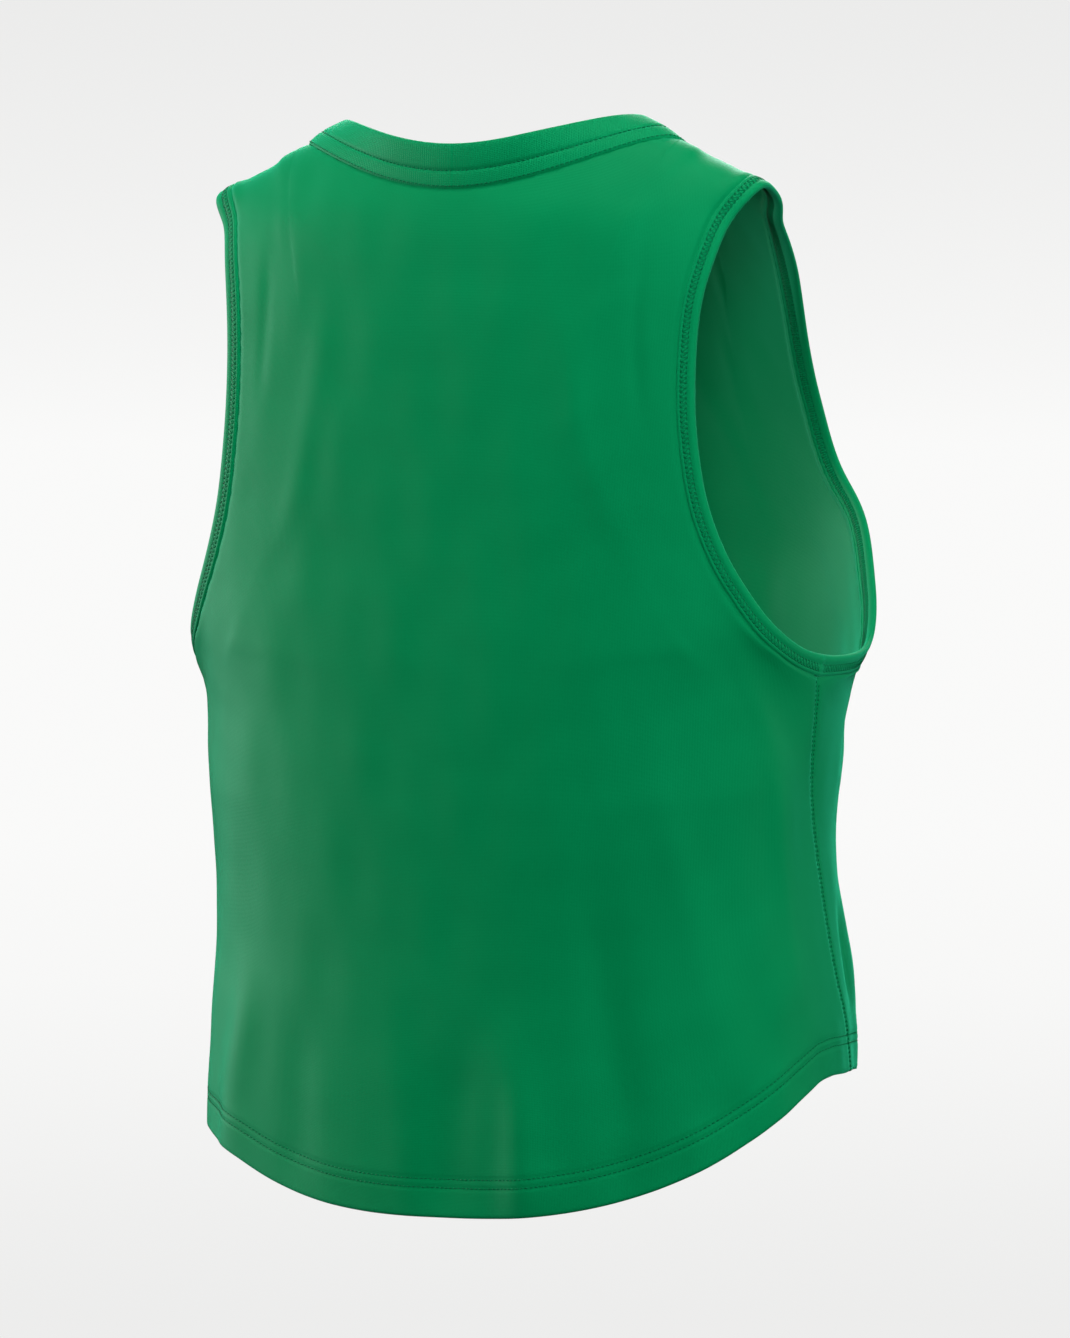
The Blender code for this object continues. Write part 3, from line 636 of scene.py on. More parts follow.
def sew_panel(name, side, panel):
    """One panel as a thin shell, thicker at its turned-up hem."""
    points = panel["points"]
    rows, columns = points.shape[:2]
    index = corners_of(np.arange(rows * columns).reshape(rows, columns))
    uv = corners_of(np.stack([panel["across"], panel["v"]], -1) * MM)
    if side == "front":
        index = index[..., ::-1]
        uv = uv[:, :, ::-1]
    piece = link_mesh(name, points.reshape(-1, 3), index.reshape(-1, 4).tolist(), uv.reshape(-1, 2))
    hem = piece.vertex_groups.new(name="hem")
    in_hem = np.flatnonzero((panel["above_hem"] < HEM_TURN).ravel())
    hem.add(in_hem.tolist(), 1.0, "REPLACE")
    wall = piece.modifiers.new("Cloth", "SOLIDIFY")
    wall.thickness = HEM_FOLD_WALL * MM
    wall.offset = -1.0
    wall.vertex_group = "hem"
    wall.thickness_vertex_group = CLOTH_WALL / HEM_FOLD_WALL
    apply_modifiers(piece)
    piece.data.set_sharp_from_angle(angle=SHARP_ANGLE)
    return piece


def sew_loop(name, sections, across_way, along_way):
    """A closed trim through a closed loop of alike sections, with u along it and v across."""
    count, corners = sections.shape[:2]
    index = np.arange(count * corners).reshape(count, corners)
    wrapped = np.pad(index, ((0, 1), (0, 1)), mode="wrap")
    grid = np.empty((count + 1, corners + 1, 2))
    grid[..., 0] = along_way[:, None]
    grid[..., 1] = across_way[None, :]
    faces = corners_of(wrapped).reshape(-1, 4)
    uv = corners_of(grid * MM).reshape(-1, 4, 2)
    points = sections.reshape(-1, 3)
    first, second, third, fourth = (points[faces[:, k]] for k in range(4))
    volume = np.einsum("ij,ij->i", first, np.cross(second, third)).sum()
    volume += np.einsum("ij,ij->i", first, np.cross(third, fourth)).sum()
    if volume < 0:
        faces = faces[:, ::-1]
        uv = uv[:, ::-1]
    return link_mesh(name, points, faces.tolist(), uv.reshape(-1, 2))


def eased(values, passes):
    """Values round a loop, evened out with their neighbours."""
    for _ in range(passes):
        values = (np.roll(values, 1, axis=0) + 2.0 * values + np.roll(values, -1, axis=0)) / 4.0
    return values


def rounded(vectors, passes):
    """Directions round a loop, evened out with their neighbours."""
    return unit(eased(vectors, passes))


def at_way(points, way, stops):
    """Points at given distances along a line."""
    return np.stack([np.interp(stops, way, points[:, k]) for k in range(3)], axis=-1)


# A stitch is a short rounded bar. Its sections: the share of its length, of its width, and of half its
# width by which they stand up.
STITCH_SECTIONS = (
    (0.00, 0.35, -0.8),
    (0.14, 0.90, 0.1),
    (0.50, 1.00, 0.45),
    (0.86, 0.90, 0.1),
    (1.00, 0.35, -0.8),
)
STITCH_SIDES = 6
STITCH_FLAT = 0.8  # its height to its width


def stitch_bars(starts, ends, normals, width):
    """Vertices and faces of many stitches, each from its start to its end."""
    way = unit(ends - starts)
    over = unit(normals - way * np.einsum("ij,ij->i", normals, way)[:, None])
    beside = np.cross(way, over)
    sides = np.arange(STITCH_SIDES)
    turns = sides * 2 * math.pi / STITCH_SIDES
    rings = []
    for share, wide, lift in STITCH_SECTIONS:
        middle = starts + (ends - starts) * share + over * (lift * width / 2)
        half = wide * width / 2
        ring = middle[:, None] + beside[:, None] * (np.cos(turns) * half)[None, :, None]
        rings.append(ring + over[:, None] * (np.sin(turns) * half * STITCH_FLAT)[None, :, None])
    points = np.stack(rings, axis=1)
    count, levels = points.shape[:2]
    base = np.arange(count)[:, None, None] * levels * STITCH_SIDES
    low = base + np.arange(levels - 1)[None, :, None] * STITCH_SIDES
    following = (sides + 1) % STITCH_SIDES
    quads = np.stack([low + sides, low + following, low + STITCH_SIDES + following,
                      low + STITCH_SIDES + sides], -1)
    first = base[:, 0] + sides[::-1]
    last = base[:, 0] + (levels - 1) * STITCH_SIDES + sides
    return points.reshape(-1, 3), quads.reshape(-1, 4).tolist() + first.tolist() + last.tolist()


def stitch_line(line, normals, lift=0.0, pitch=PITCH, length=STITCH, width=THREAD, offset=0.0):
    """Starts, ends and normals of the stitches of one row along a line."""
    way = travelled(line, 0)
    starts = np.arange(offset, way[-1] - length, pitch)
    middles = at_way(normals, way, starts + length / 2)
    raised = line + normals * lift
    return at_way(raised, way, starts), at_way(raised, way, starts + length), unit(middles), width


def zigzag(first, second, normals):
    """Slanting threads between two rows."""
    way = travelled(first, 0)
    stops = np.arange(0.0, way[-1] - PITCH, PITCH)
    other_way = travelled(second, 0)
    one = at_way(first + normals * CROSS_LIFT, way, stops)
    end = at_way(first + normals * CROSS_LIFT, way, stops + PITCH)
    middle_share = np.interp(stops + PITCH / 2, way, way / way[-1])
    two = at_way(second + normals * CROSS_LIFT, other_way / other_way[-1], middle_share)
    up = unit(at_way(normals, way, stops))
    return np.concatenate([one, two]), np.concatenate([two, end]), np.concatenate([up, up]), THREAD * 0.7


def ladder(first, second, normals):
    """Threads straight across from one row to the other."""
    way = travelled(first, 0)
    stops = np.arange(0.0, way[-1], PITCH / 2)
    one, two = (at_way(line + normals * CROSS_LIFT, way, stops) for line in (first, second))
    return one, two, unit(at_way(normals, way, stops)), THREAD


def sew_stitches(name, rows):
    """One piece that holds all the stitches of some rows."""
    points, faces, count = [], [], 0
    for starts, ends, normals, width in rows:
        bar_points, bar_faces = stitch_bars(starts, ends, normals, width)
        faces += [[corner + count for corner in face] for face in bar_faces]
        points.append(bar_points)
        count += len(bar_points)
    return link_mesh(name, np.concatenate(points), faces)


# ---- bindings
BINDING_STEP = 0.84
BINDING_STATIONS = (0.08, 0.4, 0.9, 1.4, 1.8, 2.2, 2.7, 3.5, 4.3, 4.8, 5.2, 5.7, 6.4, 7.2)
BINDING_PUFF = (BINDING_ROWS[1] + 0.4, 3.6, 0.30)  # where it swells beyond its rows, how wide and how high
ROWS_PUFF = (BINDING_ROWS[0], 3.0, 0.12)  # and between them
ROW_REACH = 0.5  # how wide a stitched row's groove is
ROW_SHARE = 0.45  # share of the sunk row at which its stitches lie
BINDING_STITCH_LIFT = 0.05
JOIN_FROM = 2.0  # from the seam to where the join is at its full height
FOLD_FINE = 9  # points round a trim's fold
FOLD_ANGLE = math.radians(72)
FOLD_SWELL = 0.1  # how much the fold is thicker than the wall
# A binding is eased along its way, and its corner at the underarm becomes a curve, more so at its fold.
NORMAL_PASSES = 40
TANGENT_PASSES = 20
EASE_PASSES = 110
CORNER_PASSES = 420
CORNER_EASE_REACH = 24.0
EASE_AT_SEAM = 0.3
# Where the bindings are wider or narrower: the side, where along it, over what share, and how much.
WIDTH_COLUMNS = ("hand", "place", "reach", "more")
WIDTHS = (
    (-1, 0.535, 0.055, 0.40),
    (1, 0.500, 0.022, -0.22),
    (1, 0.430, 0.060, 0.18),
)


def swell(place, start, width, height):
    """A soft rise from a start over a width."""
    return height * np.sin(math.pi * np.clip((place - start) / width, 0.0, 1.0))


def binding_path(hand):
    """Seam points round an armhole, with the binding's own outward and upward directions."""
    stops = (UNDERARM_V["back"], SEAM_V, UNDERARM_V["front"])
    levels = even_levels(stops, BINDING_STEP)[:-1]
    seam = cloth(float(hand), levels)
    normal = rounded(outward(float(hand), levels), NORMAL_PASSES)
    tangent = rounded(np.roll(seam, -1, axis=0) - np.roll(seam, 1, axis=0), TANGENT_PASSES)
    out = hand * unit(np.cross(normal, tangent))
    way = travelled(seam, 0)
    turn = np.radians(np.interp(way / way[-1], TURNS["share"], TURNS["turn"]))[:, None]
    turned = out * np.cos(turn) + normal * np.sin(turn)
    return seam, turned, normal * np.cos(turn) - out * np.sin(turn), way


def binding_height(across_way, way, whole, facing):
    """How far a binding's outer (facing 1) or inner (facing -1) face stands off the seam's level."""
    start = SEAM_GAP / 4
    base = np.where(facing > 0, TRIM_RAISE, TRIM_WALL - TRIM_RAISE)
    rising = smooth_step((across_way - start) / CREASE)
    puffs = swell(across_way, *BINDING_PUFF) + swell(across_way, *ROWS_PUFF)
    pulled = 0.65 + 0.35 * np.cos(2 * math.pi * way / PITCH)
    sink = sum(dimple(across_way - row, ROW_REACH) for row in BINDING_ROWS) * ROW_SINK * pulled
    nearest = np.minimum(way, whole - way)
    bump = JOIN_BUMP * dimple(nearest, JOIN_REACH) * smooth_step(across_way / JOIN_FROM)
    return facing * ((base - EDGE_ROUND) + EDGE_ROUND * rising + puffs - sink + bump)


def binding_lines(seam, out, way, hand, stations):
    """Lines along a binding at distances from its seam, before they are raised."""
    stations = np.asarray(stations)
    wider = np.ones(len(way))
    for width in records(WIDTHS, WIDTH_COLUMNS):
        if width["hand"] == hand:
            wider += width["more"] * dimple(way / way[-1] - width["place"], width["reach"])
    lines = seam[:, None] + out[:, None] * (stations[None, :] * wider[:, None])[..., None]
    share = EASE_AT_SEAM + (1.0 - EASE_AT_SEAM) * np.clip(stations / BINDING_WIDTH, 0.0, 1.0)
    softer = eased(lines, EASE_PASSES)
    softest = eased(softer, CORNER_PASSES)
    near = dimple(np.minimum(way, way[-1] - way), CORNER_EASE_REACH)[:, None, None]
    return lines + (softer + (softest - softer) * near - lines) * share[None, :, None]


def sew_binding(name, hand):
    """The folded strip round one armhole; hand is 1 for the wearer's left and -1 for the right."""
    seam, out, normal, way = binding_path(hand)
    whole = way[-1] + np.linalg.norm(seam[0] - seam[-1])
    radius = TRIM_WALL / 2
    middle = TRIM_RAISE - radius
    turns = np.linspace(FOLD_ANGLE, -FOLD_ANGLE, FOLD_FINE)
    outer = list(BINDING_STATIONS)
    stations = outer + list(BINDING_WIDTH - radius + radius * np.cos(turns)) + outer[::-1]
    heights = [binding_height(station, way, whole, 1.0) for station in outer]
    heights += [middle + (radius + FOLD_SWELL) * math.sin(turn) + 0.0 * way for turn in turns]
    heights += [binding_height(station, way, whole, -1.0) for station in outer[::-1]]
    sections = binding_lines(seam, out, way, hand, stations)
    sections = sections + normal[:, None] * np.stack(heights, axis=1)[..., None]
    across_way = np.concatenate([travelled(sections[0], 0), [2.0 * BINDING_WIDTH + TRIM_WALL]])
    piece = sew_loop(name, sections, across_way, np.append(way, whole))
    rows = []
    rims = binding_lines(seam, out, way, hand, BINDING_ROWS)
    for facing in (1.0, -1.0):
        level = (TRIM_RAISE if facing > 0 else TRIM_RAISE - TRIM_WALL) - facing * ROW_SINK * ROW_SHARE
        edges = [rims[:, k] + normal * level for k in range(len(BINDING_ROWS))]
        rows += [stitch_line(edge, normal * facing, BINDING_STITCH_LIFT) for edge in edges]
        crossing = zigzag if facing > 0 else ladder
        rows.append(crossing(*edges, normal * facing))
    return piece, rows


# ---- neckband
BAND_FINE = 66  # sections of the neckband to a quarter
BAND_TANGENT_PASSES = 5
BAND_NORMAL_PASSES = 6
BAND_WAY_PASSES = 4
BAND_EASE_PASSES = 14
BAND_TURN = (-2.0, 4.0)  # from the groove to where the lower part turns into the upper, and over what way
LOWER_PUFF = 0.28
UPPER_PUFF = 0.55
GROOVE_REACH = 0.75
BAND_FOLD_SWELL = 0.15
BAND_STITCH_ROWS = (BAND_LOWER, 1.0)
BAND_STITCH_LIFT = 0.06
BAND_STATIONS = (0.0, 0.35, 0.8, 1.4, 2.4, 3.8, 5.4, 6.8, 7.7, 8.2, 8.6, 9.0, 9.4, 10.0, 11.0, 12.6, 14.4,
                 16.2, 18.0, 19.6)


def neckband_path(quarter):
    """Seam points round the neck with the directions of the band's two parts."""
    angles = np.linspace(0.0, math.pi / 2, quarter + 1)
    back_s, back_v = neck_curve("back", angles)
    front_s, front_v = neck_curve("front", angles)
    s = np.concatenate([back_s, front_s[-2::-1]])
    v = np.concatenate([back_v, front_v[-2::-1]])
    s, v = np.concatenate([s, -s[-2:0:-1]]), np.concatenate([v, v[-2:0:-1]])
    seam = cloth(s, v)
    tangent = rounded(np.roll(seam, -1, axis=0) - np.roll(seam, 1, axis=0), BAND_TANGENT_PASSES)
    level = tangent * (1.0, 1.0, 0.0)
    inward = unit(np.stack([level[:, 1], -level[:, 0], 0.0 * level[:, 0]], -1))
    normal = rounded(outward(s, v), BAND_NORMAL_PASSES)
    out = unit(np.cross(tangent, normal))
    way = travelled(seam, 0)
    share = way / way[len(seam) // 2]
    share = np.where(share > 1.0, 2.0 - share, share)
    up = np.array((0.0, 0.0, 1.0))
    ways = []
    for part in ("lower", "upper"):
        lean = np.radians(np.interp(share, LEANS["share"], LEANS[part]))[:, None]
        ways.append(rounded(inward * np.cos(lean) + up * np.sin(lean), BAND_WAY_PASSES))
    return seam, tangent, normal, out, ways, way


def sew_neckband(name):
    """The folded band: a lower and an upper part with a stitched groove between them, and a soft fold."""
    seam, tangent, normal, out, (lower, upper), way = neckband_path(BAND_FINE)
    faces_out = [unit(np.cross(part, tangent)) for part in (lower, upper)]
    start = seam + out * (SEAM_GAP / 4)
    radius = TRIM_WALL / 2

    def band_point(station):
        """Point of the band's middle line and its outward direction at a distance from the seam."""
        blend = smooth_step((station - BAND_LOWER - BAND_TURN[0]) / BAND_TURN[1])
        face = unit(faces_out[0] * (1.0 - blend) + faces_out[1] * blend)
        near = smooth_step(station / BAND_SETTLE)
        face = unit(normal * (1.0 - near) + face * near)
        return start + lower * min(station, BAND_LOWER) + upper * max(station - BAND_LOWER, 0.0), face

    def band_height(station):
        """Height of the band's faces over its plain wall."""
        lower_puff = LOWER_PUFF * math.sin(math.pi * min(station / BAND_LOWER, 1.0))
        upper_share = min(max((station - BAND_LOWER) / BAND_UPPER, 0.0), 1.0)
        upper_puff = UPPER_PUFF * math.sin(math.pi * upper_share) ** 0.8
        edge = (1.0 - float(smooth_step(station / CREASE))) * EDGE_ROUND
        groove = GROOVE_DEPTH * float(dimple(station - BAND_LOWER, GROOVE_REACH))
        return lower_puff + upper_puff - edge - groove

    lines = []
    for station in BAND_STATIONS:
        point, face = band_point(station)
        lines.append(point + face * (TRIM_RAISE + band_height(station)))
    rim, face = band_point(BAND_LOWER + BAND_UPPER)
    centre = rim - upper * radius + face * (TRIM_RAISE - radius)
    for turn in np.linspace(FOLD_ANGLE, -FOLD_ANGLE, FOLD_FINE):
        above = (radius + BAND_FOLD_SWELL) * math.sin(turn)
        lines.append(centre + face * above + upper * radius * math.cos(turn))
    for station in BAND_STATIONS[::-1]:
        point, face = band_point(station)
        lines.append(point + face * (TRIM_RAISE - TRIM_WALL - 0.5 * band_height(station)))
    sections = np.stack(lines, axis=1)
    firm = np.array(BAND_STATIONS) / BAND_LOWER
    firm = np.clip(np.concatenate([firm, np.ones(FOLD_FINE), firm[::-1]]), 0.0, 1.0)
    sections = sections + (eased(sections, BAND_EASE_PASSES) - sections) * firm[None, :, None]
    whole = way[-1] + np.linalg.norm(seam[0] - seam[-1])
    across_way = np.concatenate([travelled(sections[0], 0), [2.0 * (BAND_LOWER + BAND_UPPER) + TRIM_WALL]])
    piece = sew_loop(name, sections, across_way, np.append(way, whole))
    rows = []
    for station in BAND_STITCH_ROWS:
        point, face = band_point(station)
        line = point + face * (TRIM_RAISE + band_height(station))
        rows.append(stitch_line(np.vstack([line, line[:1]]), np.vstack([face, face[:1]]), BAND_STITCH_LIFT))
    return piece, rows


# ---- stitches on the panels
HEM_NET_ROWS = 60  # the net's rows among which the hem's stitches lie
HEM_STITCH_LIFT = 0.08
HEM_STITCH_START = 0.3
SIDE_STITCHES = {"pitch": 2.35, "length": 1.5, "width": 0.62, "offset": 0.5}
SIDE_STITCH_LIFT = 0.10


def hem_line(panel, height):
    """Points and normals along the hem at a height above its edge."""
    ways = panel["above_hem"][:HEM_NET_ROWS]
    line, up = (np.stack([at_way(values[:HEM_NET_ROWS, k], ways[:, k], [height])[0]
                          for k in range(values.shape[1])])
                for values in (panel["points"], panel["normals"]))
    return line, unit(up)


def side_line(panel, hand, distance):
    """Points and normals up a side seam, at a distance from it, to the underarm."""
    last = panel["beside"].shape[1] - 1
    cells = slice(last, (last + 1) // 2, -1) if hand > 0 else slice(0, (last + 1) // 2)
    line, up = (np.array([at_way(values[row, cells], panel["beside"][row, cells], [distance])[0]
                          for row in panel["below_underarm"]])
                for values in (panel["points"], panel["normals"]))
    return line, unit(up)


# ---- finishes
SHEEN_GREEN = (0.05, 1.0, 0.56, 1.0)
KNIT_VALUES = {
    "Sheen Roughness": 0.42,
    "Specular IOR Level": 0.15,
    "Sheen Tint": SHEEN_GREEN,
    "Specular Tint": SHEEN_GREEN,
}
THREAD_VALUES = {
    "Roughness": 0.5,
    "Specular IOR Level": 0.2,
    "Sheen Weight": 0.12,
    "Sheen Tint": SHEEN_GREEN,
    "Specular Tint": SHEEN_GREEN,
}
THREAD_DEEP = (0.0, 0.062, 0.019)
THREAD_LIGHT = (0.0, 0.105, 0.033)
TWIST_SCALE = 2600.0
RIB_SHARE = 0.7  # of the knit's height; its loops have the rest
LOOP_SLANT = 1.9
HEIGHT_SHARE = 0.35  # of the knit's shade, the painted shade between its loops; its flecks have the rest
SHADE_SHARE = 0.55  # of the cloth's colour, from painted shade between the loops and flecks; its mottling has the rest
MOTTLE_SCALE = 14.0
FINISH_COLUMNS = ("name", "deep", "light", "roughness", "sheen", "wale", "course", "bump")
FINISHES = (
    ("panel_knit", (0.0, 0.142, 0.043), (0.0, 0.168, 0.053), 0.58, 0.34, 0.0008, 0.0007, 0.26),
    ("binding_knit", (0.0, 0.152, 0.048), (0.0005, 0.176, 0.058), 0.58, 0.36, 0.0009, 0.0008, 0.35),
    ("neckband_rib", (0.0, 0.152, 0.048), (0.0005, 0.176, 0.058), 0.60, 0.36, 0.0013, 0.0009, 0.70),
)


def set_inputs(node, values):
    """Gives a node's named inputs their values."""
    for name, value in values.items():
        node.inputs[name].default_value = value
    return node


def math_node(tree, operation, first, second=None):
    """The output of a sum with one or two numbers or outputs."""
    node = tree.nodes.new("ShaderNodeMath")
    node.operation = operation
    for socket, value in zip(node.inputs, (first, second)):
        if isinstance(value, float):
            socket.default_value = value
        elif value is not None:
            tree.links.new(value, socket)
    return node.outputs[0]


def blended(tree, first, second, share):
    """One output by its share plus another by the rest."""
    return math_node(tree, "ADD", math_node(tree, "MULTIPLY", first, share),
                     math_node(tree, "MULTIPLY", second, 1.0 - share))


def noise(tree, vector, scale, detail):
    """Soft random spots over a vector."""
    node = set_inputs(tree.nodes.new("ShaderNodeTexNoise"), {"Detail": detail})
    tree.links.new(vector, node.inputs["Vector"])
    if isinstance(scale, float):
        node.inputs["Scale"].default_value = scale
    else:
        tree.links.new(scale, node.inputs["Scale"])
    return node.outputs["Fac"]


def dyed(tree, shade, height, deep, light, ends, bump, depth):
    """Colours a material from deep to light by a shade between two ends, and roughens it by a height."""
    shader = tree.nodes["Principled BSDF"]
    ramp = tree.nodes.new("ShaderNodeValToRGB")
    for element, place, colour in zip(ramp.color_ramp.elements, ends, (deep, light)):
        element.position = place
        element.color = (*colour, 1.0)
    tree.links.new(shade, ramp.inputs["Fac"])
    tree.links.new(ramp.outputs["Color"], shader.inputs["Base Color"])
    surface = set_inputs(tree.nodes.new("ShaderNodeBump"), {"Strength": bump, "Distance": depth})
    tree.links.new(height, surface.inputs["Height"])
    tree.links.new(surface.outputs["Normal"], shader.inputs["Normal"])


def knit_group():
    """Node group: a fine knit's loops from a flat UV map. It gives their height and how shaded they are:
    painted shade, deeper between the loops, mixed with random flecks.
    """
    group = bpy.data.node_groups.new("knit_loops", "ShaderNodeTree")
    group.interface.new_socket("Grain", in_out="INPUT", socket_type="NodeSocketVector")
    for socket, value in (("Wale", 0.0008), ("Course", 0.0006), ("Fleck", 900.0)):
        made = group.interface.new_socket(socket, in_out="INPUT", socket_type="NodeSocketFloat")
        made.default_value = value
    for socket in ("Height", "Shade", "Mottle"):
        group.interface.new_socket(socket, in_out="OUTPUT", socket_type="NodeSocketFloat")
    given = group.nodes.new("NodeGroupInput").outputs
    results = group.nodes.new("NodeGroupOutput").inputs
    split = group.nodes.new("ShaderNodeSeparateXYZ")
    group.links.new(given["Grain"], split.inputs[0])
    wales = math_node(group, "DIVIDE", split.outputs["X"], given["Wale"])
    courses = math_node(group, "DIVIDE", split.outputs["Y"], given["Course"])
    waves = math_node(group, "SINE", math_node(group, "MULTIPLY", wales, math.pi))
    ribs = math_node(group, "ABSOLUTE", waves)
    slant = math_node(group, "ADD", math_node(group, "MULTIPLY", courses, 2 * math.pi),
                      math_node(group, "MULTIPLY", ribs, LOOP_SLANT))
    height = blended(group, ribs, math_node(group, "SINE", slant), RIB_SHARE)
    # Painted shade: the loops are coloured deeper where their height is low, mixed with random flecks.
    shade = blended(group, height, noise(group, given["Grain"], given["Fleck"], 2.0), HEIGHT_SHARE)
    mottle = noise(group, given["Grain"], MOTTLE_SCALE, 3.0)
    for name, output in (("Height", height), ("Shade", shade), ("Mottle", mottle)):
        group.links.new(output, results[name])
    return group


def knit_finish(finish, group):
    """A matte green knit that follows its piece's own grain."""
    material = bpy.data.materials.new(finish["name"])
    material.use_nodes = True
    tree = material.node_tree
    shader = set_inputs(tree.nodes["Principled BSDF"], KNIT_VALUES)
    set_inputs(shader, {"Roughness": finish["roughness"], "Sheen Weight": finish["sheen"]})
    grain = tree.nodes.new("ShaderNodeUVMap")
    grain.uv_map = "grain"
    knit = tree.nodes.new("ShaderNodeGroup")
    knit.node_tree = group
    set_inputs(knit, {"Wale": finish["wale"], "Course": finish["course"]})
    tree.links.new(grain.outputs["UV"], knit.inputs["Grain"])
    # The base colour runs from deep to light by painted shade between the loops, random flecks and mottling.
    shade = blended(tree, knit.outputs["Shade"], knit.outputs["Mottle"], SHADE_SHARE)
    dyed(tree, shade, knit.outputs["Height"], finish["deep"], finish["light"], (0.25, 0.75), finish["bump"],
         0.00018)
    return material


def thread_finish():
    """Polyester thread, a little deeper than the cloth, with a twist along it."""
    material = bpy.data.materials.new("green_thread")
    material.use_nodes = True
    tree = material.node_tree
    set_inputs(tree.nodes["Principled BSDF"], THREAD_VALUES)
    place = tree.nodes.new("ShaderNodeTexCoord")
    twist = noise(tree, place.outputs["Object"], TWIST_SCALE, 2.0)
    dyed(tree, twist, twist, THREAD_DEEP, THREAD_LIGHT, (0.0, 1.0), 0.4, 0.0001)
    return material


# ---- the pieces
back = fine_panel("back")
front = fine_panel("front")
back_cloth = sew_panel("back_cloth", "back", back)
front_cloth = sew_panel("front_cloth", "front", front)
neckband_cloth, neck_rows = sew_neckband("neckband_cloth")
left_binding, left_rows = sew_binding("left_binding", 1)
right_binding, right_rows = sew_binding("right_binding", -1)

hem_rows = {"back": [], "front": []}
side_rows = []
for side, panel in (("back", back), ("front", front)):
    for height in HEM_ROWS:
        line, up = hem_line(panel, height)
        hem_rows[side].append(stitch_line(line, up, HEM_STITCH_LIFT, offset=HEM_STITCH_START))
    for hand in (1, -1):
        line, up = side_line(panel, hand, SIDE_SEAM_ROW)
        side_rows.append(stitch_line(line, up, SIDE_STITCH_LIFT, **SIDE_STITCHES))

stitch_rows = {
    "back_hem_stitches": hem_rows["back"],
    "front_hem_stitches": hem_rows["front"],
    "side_seam_stitches": side_rows,
    "neckband_stitches": neck_rows,
    "left_binding_stitches": left_rows,
    "right_binding_stitches": right_rows,
}
stitches = {name: sew_stitches(name, rows) for name, rows in stitch_rows.items()}

# ---- finishes on the pieces
loops = knit_group()
panel_knit, binding_knit, neckband_rib = (knit_finish(finish, loops)
                                         for finish in records(FINISHES, FINISH_COLUMNS))
green_thread = thread_finish()

# Each cloth piece: the node it stands for, its slot, its flat size and area in metres,
# how it is held, and its stitches.
SHEETS = (
    (back_cloth, "back_panel", "back_knit", panel_knit, (0.515, 0.565), 0.186, "hung",
     ("back_hem_stitches", "side_seam_stitches")),
    (front_cloth, "front_panel", "front_knit", panel_knit, (0.525, 0.520), 0.168, "hung",
     ("front_hem_stitches",)),
    (neckband_cloth, "neckband", "neckband_knit", neckband_rib, (0.560, 0.0245), None, "stretched",
     ("neckband_stitches",)),
    (left_binding, "armhole_binding_left", "left_binding_knit", binding_knit, (0.600, 0.0115), None,
     "stretched", ("left_binding_stitches",)),
    (right_binding, "armhole_binding_right", "right_binding_knit", binding_knit, (0.600, 0.0115), None,
     "stretched", ("right_binding_stitches",)),
)
for piece, node, slot, finish, flat, area, held, stitch_names in SHEETS:
    piece.data.materials.append(finish)
    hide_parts(node)
    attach(piece, "root")
    sewn_on = [stitches[name] for name in stitch_names]
    for stitch_piece in sewn_on:
        stitch_piece.data.materials.append(green_thread)
        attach(stitch_piece, "root")

# ---- stage, light and camera
scene = bpy.context.scene
TARGET = (0.0, -0.046, -0.267)
AZIMUTH = 207.0
ELEVATION = 1.5
DISTANCE = 4.363
FRAME_WIDTH = 0.5436  # metres across the picture at the target
SENSOR = 36.0
FLOOR_Z = -0.80
FLOOR_RADIUS = 40.0


def place_round(name, data, azimuth, elevation, distance):
    """Puts a light or the camera round the target, looking at it."""
    thing = bpy.data.objects.new(name, data)
    scene.collection.objects.link(thing)
    turn, lift = math.radians(azimuth), math.radians(elevation)
    way = Vector((math.sin(turn) * math.cos(lift), -math.cos(turn) * math.cos(lift), math.sin(lift)))
    thing.location = Vector(TARGET) + way * distance
    thing.rotation_euler = (-way).to_track_quat("-Z", "Y").to_euler()
    return thing


camera = place_round("camera", bpy.data.cameras.new("camera"), AZIMUTH, ELEVATION, DISTANCE)
camera.data.sensor_fit = "HORIZONTAL"
camera.data.sensor_width = SENSOR
camera.data.lens = SENSOR * DISTANCE / FRAME_WIDTH
camera.data.clip_end = 200.0
scene.camera = camera

# Soft boxes: the azimuth and elevation of each round the target, its distance, size and power.
LIGHT_COLUMNS = ("name", "azimuth", "elevation", "distance", "size", "power")
LIGHTS = (
    ("view_box", 214.0, 20.0, 3.2, 1.4, 104.0),
    ("left_box", 97.0, 6.0, 2.6, 1.1, 66.0),
    ("right_box", 288.0, 8.0, 2.6, 1.2, 26.0),
    ("top_box", 205.0, 78.0, 2.4, 1.6, 54.0),
    ("front_box", 20.0, 30.0, 3.0, 1.8, 66.0),
)
for light in records(LIGHTS, LIGHT_COLUMNS):
    lamp = bpy.data.lights.new(light["name"], "AREA")
    lamp.shape = "DISK"
    lamp.size = light["size"]
    lamp.energy = light["power"]
    place_round(light["name"], lamp, light["azimuth"], light["elevation"], light["distance"])

# The room is seen pale, and lights the cloth more dimly than it is seen.
ROOM_LIGHT = 0.05
SEEN_FAR = 0.953  # palest painted grey, where floor and wall meet
# The wall seen by the camera is painted light: brightest where it meets the floor and darker upwards.
WALL_STOPS = ((0.0, SEEN_FAR), (0.012, 0.915), (0.031, 0.871), (0.050, 0.838))
# The floor glows with painted light, dimmer near the piece and brightest far off.
FLOOR_STOPS = ((0.15, 0.846), (0.20, 0.863), (0.257, 0.888), (0.332, 0.913), (0.43, 0.935), (0.70, SEEN_FAR))
FLOOR_FADE = 14.0  # metres from the piece to where the floor's painted light is brightest
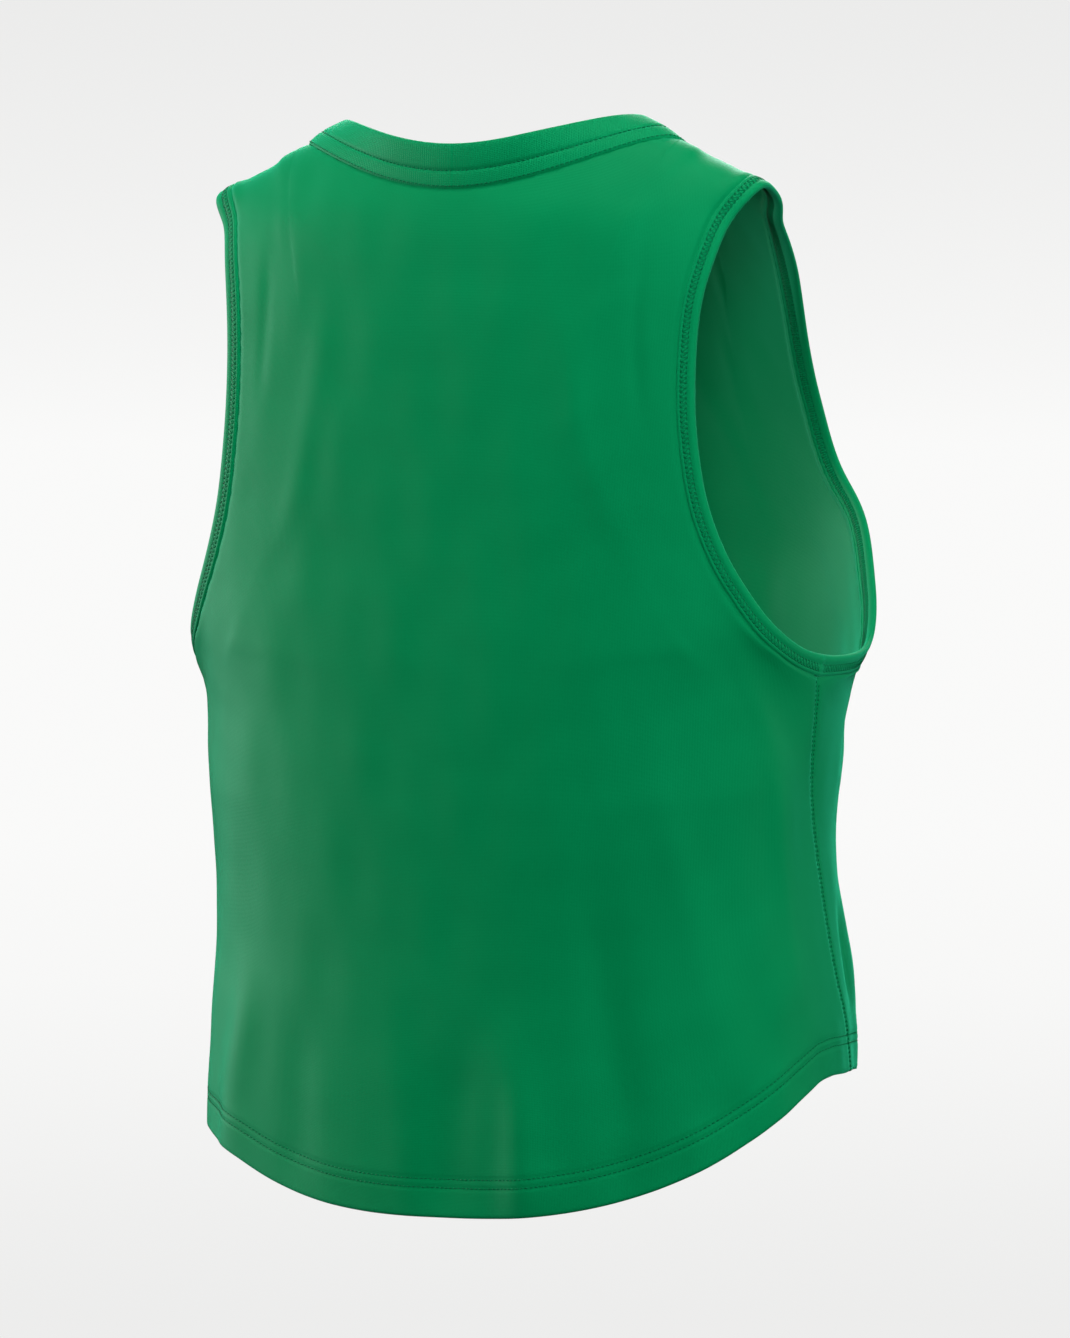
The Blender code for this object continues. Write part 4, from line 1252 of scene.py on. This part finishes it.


def greys(tree, value, stops):
    """A ramp of warm greys along a value, which paints the fall-off of light on the wall and the floor."""
    ramp = tree.nodes.new("ShaderNodeValToRGB")
    elements = ramp.color_ramp.elements
    while len(elements) < len(stops):
        elements.new(0.5)
    for element, (place, grey) in zip(elements, stops):
        element.position = place
        element.color = (grey, grey, grey * 0.994, 1.0)
    tree.links.new(value, ramp.inputs["Fac"])
    return ramp.outputs["Color"]


world = bpy.data.worlds.new("studio")
world.use_nodes = True
scene.world = world
room = world.node_tree
direction = room.nodes.new("ShaderNodeTexCoord")
height = room.nodes.new("ShaderNodeSeparateXYZ")
room.links.new(direction.outputs["Generated"], height.inputs[0])
seen = room.nodes["Background"]
# The camera sees the wall's painted light; all other rays get the plain room light.
room.links.new(greys(room, height.outputs["Z"], WALL_STOPS), seen.inputs["Color"])
lit = set_inputs(room.nodes.new("ShaderNodeBackground"),
                 {"Color": (1.0, 1.0, 1.0, 1.0), "Strength": ROOM_LIGHT})
path = room.nodes.new("ShaderNodeLightPath")
chosen = room.nodes.new("ShaderNodeMixShader")
for output, socket in zip((path.outputs["Is Camera Ray"], lit.outputs[0], seen.outputs[0]), chosen.inputs):
    room.links.new(output, socket)
room.links.new(chosen.outputs[0], room.nodes["World Output"].inputs["Surface"])

clear_selection()
# The floor is no lamp: it glows with painted light for the camera and lights nothing.
bpy.ops.mesh.primitive_circle_add(vertices=96, radius=FLOOR_RADIUS, fill_type="NGON",
                                  location=(0, 0, FLOOR_Z))
floor = bpy.context.active_object
floor.name = "floor"
floor.visible_diffuse = False
floor.visible_glossy = False
pale = bpy.data.materials.new("pale_floor")
pale.use_nodes = True
ground = pale.node_tree
ground.nodes.remove(ground.nodes["Principled BSDF"])
place = ground.nodes.new("ShaderNodeTexCoord")
reach = ground.nodes.new("ShaderNodeVectorMath")
reach.operation = "LENGTH"
ground.links.new(place.outputs["Object"], reach.inputs[0])
share = math_node(ground, "DIVIDE", reach.outputs["Value"], FLOOR_FADE)
glow = ground.nodes.new("ShaderNodeEmission")
ground.links.new(greys(ground, share, FLOOR_STOPS), glow.inputs["Color"])
ground.links.new(glow.outputs[0], ground.nodes["Material Output"].inputs["Surface"])
floor.data.materials.append(pale)

scene.view_settings.view_transform = "Standard"
